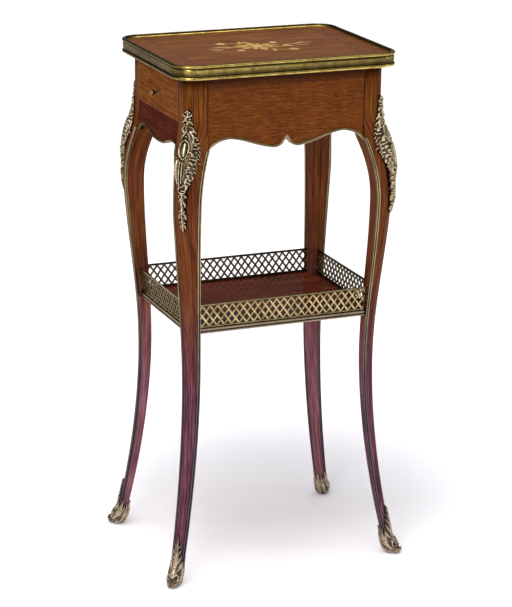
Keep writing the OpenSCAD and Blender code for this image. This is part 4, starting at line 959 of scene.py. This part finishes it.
# The sections as (along the panel, out of it) for a bar and (up, out) for a rail, and how bright each of
# their points is kept.
bar_section = [
    (-1.5, -0.3), (-1.15, -0.8), (1.15, -0.8), (1.5, -0.3),
    (1.5, 0.3), (1.15, 0.8), (-1.15, 0.8), (-1.5, 0.3),
]
bar_worn = [0.25, 1, 1, 0.2, 0.1, 0.6, 0.6, 0.1]
rail_section = [
    (0, 0), (0, -1.2), (0.5, -1.9), (0.5, -2.3), (1.2, -2.5), (2.2, -2.5), (3.0, -2.1), (3.0, -0.2), (2.8, 0),
]
rail_worn = [0, 0.1, 0.05, 0.05, 0.15, 0.7, 1, 0.4, 0.15]
foot_taller = 1.0
for name, (run, outward, k) in four_sides.items():
    half = inner(shelf_z, k)
    pivot = outward * (shelf_half[1 - k] - gallery_in) + Vector((0, 0, shelf_z))
    rise = Vector((0, 0, math.cos(gallery_lean))) + outward * math.sin(gallery_lean)
    depth = outward * math.cos(gallery_lean) - Vector((0, 0, math.sin(gallery_lean)))
    reach = half + gallery_bite
    tall = (gallery_height - 2 * rail_height) / 2
    count = math.floor(2 * (half + lozenge_over) / lozenge)
    work = bmesh.new()
    worn = work.verts.layers.float.new("ridge")
    for slope in (-1, 1):
        back = bar_back if slope > 0 else 0
        # Painted shade: the left panel and the bars rising to the right are drawn darker.
        kept = (left_panel_shade if name == "left" else panel_kept) * (rising_bar_shade if slope > 0 else 1.0)
        for j in range(-2, count + 3):
            start = (j - count / 2) * lozenge
            low = Vector((start, rail_height - bar_bite))
            high = Vector((start + slope * 2 * lozenge, rail_height + 2 * tall + bar_bite))
            low.x -= slope * lozenge / tall
            high.x += slope * lozenge / tall
            direction = (high - low).normalized()
            wide = Vector((-direction.y, direction.x))
            ring_ends = []
            for end in (low, high):
                ring_ends.append([
                    work.verts.new(pivot + run * (end.x + wide.x * a) + rise * (end.y + wide.y * a)
                                   + depth * (gallery_wall / 2 - b - back))
                    for a, b in bar_section
                ])
                for vertex, value in zip(ring_ends[-1], bar_worn):
                    vertex[worn] = value * kept
            sides = len(bar_section)
            for n in range(sides):
                work.faces.new((ring_ends[0][n], ring_ends[0][(n + 1) % sides],
                                ring_ends[1][(n + 1) % sides], ring_ends[1][n]))
    for s in (-1, 1):
        bmesh.ops.bisect_plane(
            work, geom=work.verts[:] + work.edges[:] + work.faces[:], dist=1e-5,
            plane_co=pivot + run * (s * reach), plane_no=run * s, clear_outer=True,
        )
    mesh = bpy.data.meshes.new("trellis")
    work.to_mesh(mesh)
    work.free()
    trellis = finish_piece("trellis_" + name, mesh, trellis_brass)
    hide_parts("gallery_" + name)
    for part, foot, taller in (
        ("foot_rail", -foot_taller, foot_taller), ("top_rail", gallery_height - rail_height, 0),
    ):
        path = [pivot + run * (s * reach) + rise * foot for s in (-1, 1)]
        section = [(a + (taller if a > 1 else 0), b) for a, b in rail_section]
        mesh = sweep(part, path, [rise, rise], [-depth, -depth], section, worn=rail_worn)
        piece = finish_piece(f"{part}_{name}", mesh, trellis_brass)
        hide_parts("gallery_" + name)

# The knee mounts, pinned on the corner of each leg: brass cast in sand from one carved pattern, chased and
# gilt. A tight bouquet leads down to a plain oval, a wing of small leaves turns on to the leg's wide face,
# flutes stand well off the knee, and a pendant of husks ends it.
chute_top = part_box("chute_front_left")[1].z / mm
chute_long = 170.0
# The carving is worked out on a grid of this pitch.
chute_pitch = 0.5
# Cast, chased and gilt brass: pale gold crests that catch the light, and brown black hollows.
cast_brass = aged_metal("brass_cast_chased_gilt", "#fff2cc", "#b8965e", "#2e1c0e", rough=0.24, patch=9,
                        patches=0.8, relief=True, grit=0.2)
# Each stroke of the carving: a kind, its line as (across, down) points in millimetres from the middle
# of the cant and from the top, its half widths along the line (across and down for a bead or a dome), and
# how proud it stands. A petal has ribs, a scroll a soft groove on each side, and a flute is plain.
chute_strokes = [
    ("bead", [(0, 2.6)], (1.7,), 3.2),
    ("bead", [(-2.9, 4.6)], (1.5,), 2.8),
    ("bead", [(2.8, 4.4)], (1.5,), 2.8),
    ("petal", [(-0.2, 12), (0.4, 8.4), (-0.2, 4.6)], (0.9, 1.5, 0.9), 3.2),
    ("petal", [(-1.4, 11), (-4.6, 9.6), (-6.6, 6.6)], (0.9, 1.5, 0.6), 2.4),
    ("petal", [(1.4, 11), (4.2, 9.2), (5.8, 6.4)], (0.9, 1.5, 0.6), 2.4),
    ("bead", [(-3.4, 13.2)], (1.5,), 2.8),
    ("bead", [(3.6, 13.6)], (1.6,), 2.8),
    ("scroll", [(-0.3, 10), (-1.6, 14), (0.9, 19), (-1.4, 25), (-0.2, 31)], (1.5, 1.2, 1.6), 3.2),
    ("petal", [(-1.4, 15.4), (-4.8, 16.4), (-7.0, 20.0)], (0.9, 1.6, 0.7), 2.4),
    ("petal", [(1.2, 17), (4.8, 17.8), (6.8, 21.6)], (0.9, 1.6, 0.7), 2.4),
    ("bead", [(-4.2, 21.6)], (1.5,), 2.8),
    ("scroll", [(-1.2, 24), (-5.0, 24.6), (-6.0, 29.4), (-3.4, 32.4), (-2.0, 29.6)], (1.0, 1.4, 1.3), 3.0),
    ("scroll", [(0.6, 24.6), (4.8, 24.0), (7.8, 27.6), (6.0, 31.6), (3.6, 29.8)], (0.9, 1.3, 1.3), 2.8),
    ("petal", [(5.0, 31), (8.4, 30.6), (11.2, 33.4)], (0.9, 1.4, 0.6), 2.4),
    ("petal", [(0.6, 32), (3.4, 35.6), (4.4, 41.5)], (1.0, 1.5, 0.8), 2.8),
    ("petal", [(3.4, 31.5), (7.4, 36), (8.2, 43.5)], (0.9, 1.6, 0.8), 2.6),
    ("petal", [(-1.2, 33), (-4.8, 35.6), (-6.8, 41)], (1.0, 1.6, 0.8), 2.8),
    ("bead", [(-0.4, 37.6)], (1.8,), 3.4),
    ("dome", [(-1.4, 55)], (3.9, 10.2), 4.6),
    ("scroll", [(-1.4, 41.5), (-6.2, 46), (-7.4, 55), (-5.6, 63.5), (-1.4, 67.6)], (1.4, 0.9, 1.2), 3.8),
    ("scroll", [(-1.4, 41.5), (3.4, 46), (4.6, 55), (2.8, 63.5), (-1.4, 67.6)], (1.4, 0.9, 1.2), 3.8),
    ("flute", [(-7.8, 69), (-8.6, 84), (-6.8, 100)], (1.1, 1.7, 0.9), 3.0),
    ("flute", [(-4.4, 70), (-4.8, 88), (-3.9, 107)], (1.2, 1.7, 1.2), 4.4),
    ("flute", [(-1.1, 71), (-1.2, 85), (-1.6, 99)], (1.1, 1.5, 0.9), 3.8),
    ("scroll", [(1.6, 72), (2.4, 84), (0.8, 94)], (0.7, 0.9, 0.7), 3.2),
    ("scroll", [(-6.0, 101), (-1.0, 104.4), (3.2, 101), (5.4, 104.6), (3.4, 109.4), (-0.4, 108.4)],
     (1.2, 1.5, 1.4), 4.0),
    ("scroll", [(-6.6, 106.5), (-4.0, 111.6), (1.0, 113.0), (4.2, 110.8)], (0.9, 1.4, 0.8), 3.0),
    ("scroll", [(-5.4, 119.6), (-4.0, 115.4), (-0.2, 114.4), (3.4, 115.8), (4.6, 119)], (1.1, 1.0, 1.1), 2.8),
    ("petal", [(-0.6, 115), (-1.0, 124), (-0.4, 134)], (1.3, 1.7, 1.3), 3.2),
    ("petal", [(-1.2, 118), (-3.6, 122), (-4.4, 127)], (0.8, 1.3, 0.6), 2.2),
    ("petal", [(0.4, 123), (2.8, 127.4), (3.6, 132)], (0.8, 1.3, 0.8), 2.4),
    ("bead", [(-0.4, 136.4)], (2.1,), 3.4),
    ("bead", [(-3.4, 138.6)], (1.5,), 2.8),
    ("bead", [(2.8, 138.8)], (1.5,), 2.8),
    ("petal", [(-0.4, 138), (-0.6, 144), (-0.4, 150)], (1.0, 1.6, 1.0), 3.2),
    ("petal", [(-1.2, 140), (-4.2, 144), (-5.2, 150)], (0.9, 1.6, 0.8), 2.6),
    ("petal", [(0.6, 140), (3.6, 144), (4.6, 150)], (0.9, 1.6, 0.8), 2.6),
    ("bead", [(-2.6, 147)], (1.3,), 2.8),
    ("bead", [(2.0, 147.4)], (1.3,), 2.8),
    ("bead", [(-0.4, 152.6)], (1.9,), 3.4),
    ("bead", [(-3.4, 154.4)], (1.5,), 2.8),
    ("bead", [(2.8, 154.8)], (1.6,), 2.8),
    ("petal", [(-0.4, 154), (-0.4, 161), (-0.6, 169.4)], (1.1, 1.9, 0.6), 2.8),
    ("petal", [(-0.4, 156.6), (-2.9, 160), (-4.0, 164.4)], (0.8, 1.3, 0.5), 2.0),
    ("petal", [(0.0, 156.6), (2.5, 160), (3.4, 164.4)], (0.8, 1.3, 0.5), 2.0),
]


def frill(strokes, spine, count, turn, long, wide, proud, bead=0.0):
    """Little leaves off a curved stem, all at one angle from it, each with a bead at its root if wanted.
    The sines make each leaf a little different, as a carver does."""
    curve = np.array(smooth_line(spine, 12))
    for n in range(count):
        k = round((n + 0.5) * (len(curve) - 1) / count)
        step = curve[min(k + 1, len(curve) - 1)] - curve[max(k - 1, 0)]
        angle = math.atan2(step[1], step[0]) + math.radians(turn + 26 * math.sin(5.1 * n + 0.7))
        away = np.array((math.cos(angle), math.sin(angle)))
        bent = np.array((math.cos(angle + 0.5), math.sin(angle + 0.5)))
        root = curve[k] + away * math.sin(8.3 * n)
        reach = long * (1 + 0.3 * math.sin(3.7 * n + 1.1))
        strokes.append(("petal", [tuple(root), tuple(root + away * reach * 0.55),
                                  tuple(root + away * reach * 0.55 + bent * reach * 0.45)],
                        (wide * 0.7, wide * (1 + 0.2 * math.sin(6.1 * n)), wide * 0.5), proud))
        if bead:
            strokes.append(("bead", [tuple(root)], (bead,), proud + 0.5))


# The wing of leaves beside the oval, in three rows, and a short row on the other side.
frill(
    chute_strokes,
    [(8, 37), (12, 45), (15.4, 55), (16.0, 65), (14.4, 76), (10.8, 87), (6.6, 96), (3.6, 101)],
    14, -62, 3.9, 1.3, 2.2,
)
frill(chute_strokes, [(7, 43), (10, 51), (12.2, 61), (11.8, 71), (9.0, 81), (5.4, 91), (3.0, 97)],
      12, -42, 5.0, 1.2, 2.8, 1.2)
frill(chute_strokes, [(6.0, 56), (7.6, 64), (6.8, 73), (4.4, 83)], 6, -38, 4.6, 1.2, 3.0, 1.3)
frill(chute_strokes, [(-8.6, 64), (-9.6, 76), (-8.6, 90), (-6.6, 99)], 7, 60, 3.0, 1.1, 1.8)
# By depth from the top: how far the casting as a whole swells off the leg and how wide that swell is,
# and the left and the right edge of its plain ground.
chute_depths = [0, 8, 22, 40, 52, 62, 74, 88, 100, 112, 124, 140, 154, 164, 170]
chute_swell = [2.4, 2.8, 3.0, 3.4, 5.0, 8.2, 10.6, 11.0, 10.4, 9.0, 7.2, 6.4, 5.6, 4.0, 2.4]
chute_spread = [7, 7, 8, 9, 12, 13, 13, 11, 10, 9, 8, 8, 8, 7, 6]
chute_left = [0, -4.2, -4.8, -5.6, -7.0, -8.6, -9.6, -8.8, -6.4, -4.4, -3.0, -2.4, -2.6, -1.2, 0]
chute_right = [0, 4.6, 5.4, 11.0, 16.0, 17.6, 16.2, 12.0, 6.4, 4.2, 2.8, 2.4, 2.8, 1.2, 0]
# How thin the casting is at its edges, where across the cant its swell has its crest, and over how many
# millimetres its ground thins out. With no metal the height is bare, and the skin dips to sunk.
cast_edge, swell_middle, plate_edge = 1.6, -1.5, 1.4
bare, sunk = -9.0, -0.5
mount_backing = 0.0006


def carve(strokes, across, down, ground):
    """Heights of a carving over a grid of points, and how near each point is to the crest of a stroke.
    The powers set how round or how square a stroke is across."""
    rib_pitch = 2.2
    height = np.full(across.shape, bare)
    ridge = np.zeros(across.shape)
    for kind, line, widths, proud in strokes:
        if kind in ("bead", "dome"):
            wide, deep = widths[0], widths[-1]
            q = np.hypot((across - line[0][0]) / wide, (down - line[0][1]) / deep)
            shape = np.sqrt(np.clip(1 - q * q, 0, 1))
        else:
            curve = np.array(smooth_line(line, 14))
            step = np.concatenate([[0], np.cumsum(np.hypot(*np.diff(curve, axis=0).T))])
            share = step / step[-1]
            wide = np.interp(share, [0, 0.5, 1], widths)
            gap = np.hypot(across[..., None] - curve[:, 0], down[..., None] - curve[:, 1]) / wide
            near = gap.argmin(-1)
            q = gap.min(-1)
            if kind == "petal":
                rib = 0.16 * np.cos(2 * math.pi * (step[near] / rib_pitch - 0.6 * q))
                shape = np.clip(1 - q ** 2.4, 0, 1) ** 0.7 * (0.74 + 0.26 * np.clip(q, 0, 1) ** 0.8 + rib)
            elif kind == "flute":
                shape = np.clip(1 - q ** 2, 0, 1) ** 0.6
            else:
                groove = 0.8 + 0.2 * np.cos(2 * math.pi * np.clip(q, 0, 1) * 0.8)
                shape = np.clip(1 - q ** 3, 0, 1) ** 0.6 * groove
        level = np.where(q < 1, ground + shape * proud, bare)
        ridge = np.where(level > height, np.clip(shape, 0, 1), ridge)
        height = np.maximum(height, level)
    return height, ridge


root_half = math.sqrt(0.5)


def leg_skin(z, across, out, turned):
    """The point that lies out millimetres off a leg in the corner at +X, +Y: across runs from the middle
    of the cant round to the Y face, or to the X face where the mount is turned. Near an edge of the cant
    the way out turns over bend_width millimetres."""
    bend_width = 9.0
    a, b = (1, 0) if turned else (0, 1)
    face_a, face_b, c = outer(z, a), outer(z, b), cant(z)
    half = c * root_half
    if across > half:
        point = np.array([face_a - c - (across - half), face_b])
    elif across < -half:
        point = np.array([face_a, face_b - c + (across + half)])
    else:
        point = np.array([face_a - c / 2 - across * root_half, face_b - c / 2 + across * root_half])
    bend = ease(min(1, max(0, (abs(across) - half + bend_width / 2) / bend_width))) * 45
    lean = math.radians(45 + math.copysign(bend, across))
    point = point + out * np.array([math.cos(lean), math.sin(lean)])
    return (point[1], point[0]) if turned else (point[0], point[1])


def cast_skin(name, points, faces, ridge, finish, thick):
    """A casting's outer skin over a grid of points, without the points that no face uses, and its back."""
    mesh = bpy.data.meshes.new(name)
    mesh.from_pydata(points, [], faces)
    mark(mesh, "ridge", ridge)
    work = bmesh.new()
    work.from_mesh(mesh)
    bmesh.ops.delete(work, geom=[v for v in work.verts if not v.link_faces], context="VERTS")
    work.to_mesh(mesh)
    work.free()
    piece = finish_piece(name, mesh, finish, flat_faces=False)
    backing = piece.modifiers.new("backing", "SOLIDIFY")
    backing.thickness = thick
    backing.offset = -1
    return piece


across_line = np.arange(-13.5, 21.01, chute_pitch)
down_line = np.arange(-1.5, chute_long + 1.51, chute_pitch)
across, down = np.meshgrid(across_line, down_line)
swell = np.interp(down, chute_depths, chute_swell)
spread = np.interp(down, chute_depths, chute_spread)
ground = cast_edge + (swell - cast_edge) * np.exp(-np.abs((across - swell_middle) / spread) ** 2.6)
inside = np.minimum(across - np.interp(down, chute_depths, chute_left),
                    np.interp(down, chute_depths, chute_right) - across)
plate = np.where((inside > 0) & (down > 1) & (down < chute_long - 2),
                 ground * np.clip(inside / plate_edge, 0, 1) ** 0.5, bare)
carved, ridge = carve(chute_strokes, across, down, ground)
chute_out = np.maximum(np.maximum(carved, plate), sunk)
ridge = np.where(carved > plate, 0.08 + 0.92 * ridge ** 1.5, 0.1)
rows, columns = chute_out.shape
faces = []
for i in range(rows - 1):
    for j in range(columns - 1):
        if chute_out[i:i + 2, j:j + 2].max() > 0:
            k = i * columns + j
            faces.append((k, k + 1, k + columns + 1, k + columns))
# The castings stay this far inside the table's own depth.
mount_y = cad_high.y / mm - 0.5
for place, (sx, sy) in corners.items():
    points = []
    for i in range(rows):
        z = chute_top - down_line[i]
        for j in range(columns):
            x, y = leg_skin(z, across_line[j], chute_out[i, j], place.startswith("back"))
            points.append((sx * x, sy * min(y, mount_y), z))
    piece = cast_skin("knee_mount_" + place, points, faces, ridge, cast_brass, mount_backing)
    outward = Vector((sx, sy, 0))
    if sum(face.normal.dot(outward) * face.area for face in piece.data.polygons) < 0:
        piece.data.flip_normals()
    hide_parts("chute_" + place)

# The shoes, cast and chased like the knee mounts: leaves that lap up the foot, a tall one in front, a
# rounded heel, and flutes that run forward to a toe rolled up off the floor. The foot's wood ends inside.

# Cast brass, scuffed by floors and brooms: paler and greyer than the knee mounts, with deep dark hollows.
shoe_brass = aged_metal("brass_cast_shoe_scuffed", "#e6d0b4", "#90785e", "#1e1312", rough=0.3, patch=7,
                        patches=0.8, relief=True, grit=0.4)
shoe_head = 76.0
shoe_bend = 24.0
# Rings down the foot lie this far apart. The carving goes on over the sole as if it were this long.
shoe_pitch, sole_long = 0.9, 36.0
shoe_wall, foot_wall, shoe_sunk = 1.3, 1.6, -0.7
shoe_backing = 0.0005
# The strokes are laid out on a foot of this radius, and the sole points the way the leg does at toe_level.
shoe_radius, toe_level = 11, 12
# Below the ankle each section leans further forward: its point on the heel and sole, its point on the
# instep and toe, both as (out from the table's middle along the diagonal, height), and its half width.
shoe_sections = [
    ((193.6, 24), (216.2, 24), 9.7), ((195.2, 16.5), (218.0, 19.2), 10.1),
    ((198.4, 9.5), (219.6, 15.8), 9.9), ((202.2, 4.2), (221.0, 13.2), 9.4),
    ((206.6, 1.0), (222.0, 11.5), 8.6), ((211.2, 0.0), (222.7, 10.4), 7.9),
    ((216.0, 0.0), (223.2, 9.6), 7.2), ((220.6, 0.3), (223.6, 9.0), 6.5),
    ((224.4, 1.6), (223.8, 8.6), 5.7), ((226.9, 4.3), (224.0, 8.2), 4.8),
    ((227.7, 7.6), (224.2, 7.8), 4.0), ((226.6, 10.4), (224.5, 7.9), 3.2),
]
# Strokes as on the knee mounts, across the front of the foot and down from the shoe's upper edge.
shoe_strokes = [
    ("petal", [(0, 60), (0, 42), (0, 20), (0, 3.4)], (3.4, 4.6, 1.1), 3.8),
    ("petal", [(34.5, 68), (34.5, 54), (34.5, 38)], (4.0, 4.6, 1.4), 1.8),
    ("petal", [(-34.5, 68), (-34.5, 54), (-34.5, 38)], (4.0, 4.6, 1.4), 1.8),
]
for s in (-1, 1):
    shoe_strokes += [
        ("petal", [(s * 0.6, 22), (s * 3.2, 17.5), (s * 5.0, 14)], (0.9, 1.6, 0.7), 2.4),
        ("petal", [(s * 1.0, 32), (s * 4.4, 26.5), (s * 6.8, 21.5)], (1.1, 2.1, 0.8), 2.6),
        ("petal", [(s * 1.6, 43), (s * 6.0, 36.5), (s * 8.8, 29.5)], (1.4, 2.6, 0.9), 2.8),
        ("petal", [(s * 3.0, 54), (s * 8.4, 47.5), (s * 11.4, 39.5)], (1.5, 2.8, 1.0), 2.8),
        ("petal", [(s * 12.0, 66), (s * 17.0, 52), (s * 18.6, 35.5)], (2.6, 4.0, 1.1), 2.6),
        ("petal", [(s * 15.6, 56), (s * 12.6, 49), (s * 12.8, 43)], (1.2, 2.2, 0.9), 2.2),
        ("petal", [(s * 19.0, 58), (s * 23.0, 51), (s * 23.4, 44)], (1.2, 2.4, 0.9), 2.2),
        ("petal", [(s * 24.0, 68), (s * 27.6, 56), (s * 28.2, 42)], (2.0, 3.2, 1.0), 2.0),
        ("scroll", [(s * 1.4, 59), (s * 5.4, 56), (s * 8.8, 60), (s * 7.4, 66), (s * 3.6, 66), (s * 3.8, 62)],
         (1.2, 1.7, 1.3), 3.2),
    ]
    for n in range(6):
        side = s * (2.2 + 5.2 * n)
        shoe_strokes.append((
            "petal", [(side * 1.05, 88), (side, 78), (side * 0.94, 66 - 0.8 * n)], (1.6, 2.4, 1.2), 1.6,
        ))
# How high the shoe's plain ground reaches, by the degrees round the foot from its toe.
shoe_degrees = [0, 9, 18, 26, 40, 54, 66, 80, 96, 112, 124, 140, 158, 180]
shoe_crown = [72, 60, 50, 44, 38, 30, 28, 33, 41, 33, 27, 31, 37, 39]

turns = np.linspace(-math.pi, math.pi, 145)[:-1]
upper = np.arange(shoe_head, shoe_bend, -shoe_pitch)
lower_steps = 6
lower_table = [
    np.array(smooth_line([s[0] for s in shoe_sections], lower_steps)),
    np.array(smooth_line([s[1] for s in shoe_sections], lower_steps)),
    np.array(smooth_line([(s[2], 0) for s in shoe_sections], lower_steps))[:, 0],
]


def ray_reach(outline, turn):
    """How far a ray from the middle of a closed outline runs before it leaves the outline."""
    ray = np.array([math.cos(turn), math.sin(turn)])
    for k in range(len(outline)):
        a, b = outline[k - 1], outline[k]
        edge = b - a
        det = ray[0] * -edge[1] + ray[1] * edge[0]
        if abs(det) > 1e-9:
            far = (a[0] * -edge[1] + a[1] * edge[0]) / det
            share = (ray[0] * a[1] - ray[1] * a[0]) / det
            if far > 0 and -1e-6 <= share <= 1 + 1e-6:
                return far
    return 0.0


frames, shoe_down = [], []
for z in upper:
    flat = [np.array(((p.x + p.y) * root_half, (p.y - p.x) * root_half)) for p in leg_corners(z)]
    side = (flat[2][1] + flat[3][1]) / 2
    centre = (flat[0][0] + (flat[2][0] + flat[3][0]) / 2) / 2
    local = [p - np.array((centre, side)) for p in flat]
    reach = np.array([ray_reach(local, t) for t in turns])
    frames.append((np.array((centre, z)), np.array((1.0, 0.0)), reach, side))
    shoe_down.append(shoe_head - z)
toe_corners = leg_corners(toe_level)
side = (toe_corners[2] + toe_corners[3]) / 2
side = (side.y - side.x) * root_half
for k in range(len(lower_table[0])):
    back, front, half = lower_table[0][k], lower_table[1][k], lower_table[2][k]
    centre, axis = (back + front) / 2, front - back
    long = np.linalg.norm(axis) / 2
    # An oval at the ankle that grows squarer towards the sole.
    power = 2.0 + 0.7 * min(1, k / 20)
    reach = (np.abs(np.cos(turns) / long) ** power + np.abs(np.sin(turns) / half) ** power) ** (-1 / power)
    frames.append((centre, axis / np.linalg.norm(axis), reach - foot_wall, side))
    shoe_down.append(shoe_head - shoe_bend + shoe_pitch + sole_long * k / len(lower_table[0]))
across, down = np.meshgrid(turns * shoe_radius, np.array(shoe_down))
carved, ridge = carve(shoe_strokes, across, down, np.full(across.shape, shoe_wall))
crown = np.interp(np.abs(np.degrees(turns)), shoe_degrees, shoe_crown)
plate = np.where(shoe_head - down < crown[None, :], shoe_wall, bare)
shoe_out = np.maximum(np.maximum(carved, plate), shoe_sunk)
ridge = np.where(carved > plate, 0.15 + 0.85 * ridge ** 1.4, 0.2)
ridge = ridge * np.interp(down, [0, 25, 45], [0.4, 0.65, 1])

sides = len(turns)
faces = []
for i in range(len(frames) - 1):
    for j in range(sides):
        k = (j + 1) % sides
        if max(shoe_out[i, j], shoe_out[i, k], shoe_out[i + 1, j], shoe_out[i + 1, k]) > 0:
            faces.append((i * sides + j, i * sides + k, (i + 1) * sides + k, (i + 1) * sides + j))
faces.append(tuple((len(frames) - 1) * sides + j for j in range(sides)))
# The shoes stay inside the table's own reach. Above the bend the skin turns smoothly into the round of
# the sole's first ring.
shoe_x, shoe_y = cad_high.x / mm - 0.3, cad_high.y / mm - 0.8
blend_top, blend_long, blend_most = 34, 12, 0.8
first = frames[len(upper)][2]
for place, (sx, sy) in corners.items():
    points = []
    for i, (centre, axis, reach, side) in enumerate(frames):
        bent = ease(min(1, max(0, (blend_top - centre[1]) / blend_long)))
        blend = blend_most * bent if i < len(upper) else 0
        for j, t in enumerate(turns):
            r = max(reach[j] * (1 - blend) + first[j] * blend, reach[j]) + shoe_out[i, j]
            o = centre[0] + axis[0] * r * math.cos(t)
            a = side + r * math.sin(t)
            points.append((
                sx * min((o - a) * root_half, shoe_x), sy * min((o + a) * root_half, shoe_y),
                max(0.0, centre[1] + axis[1] * r * math.cos(t)),
            ))
    piece = cast_skin("leaf_shoe_" + place, points, faces, ridge, shoe_brass, shoe_backing)
    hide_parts("sabot_" + place)

low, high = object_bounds()
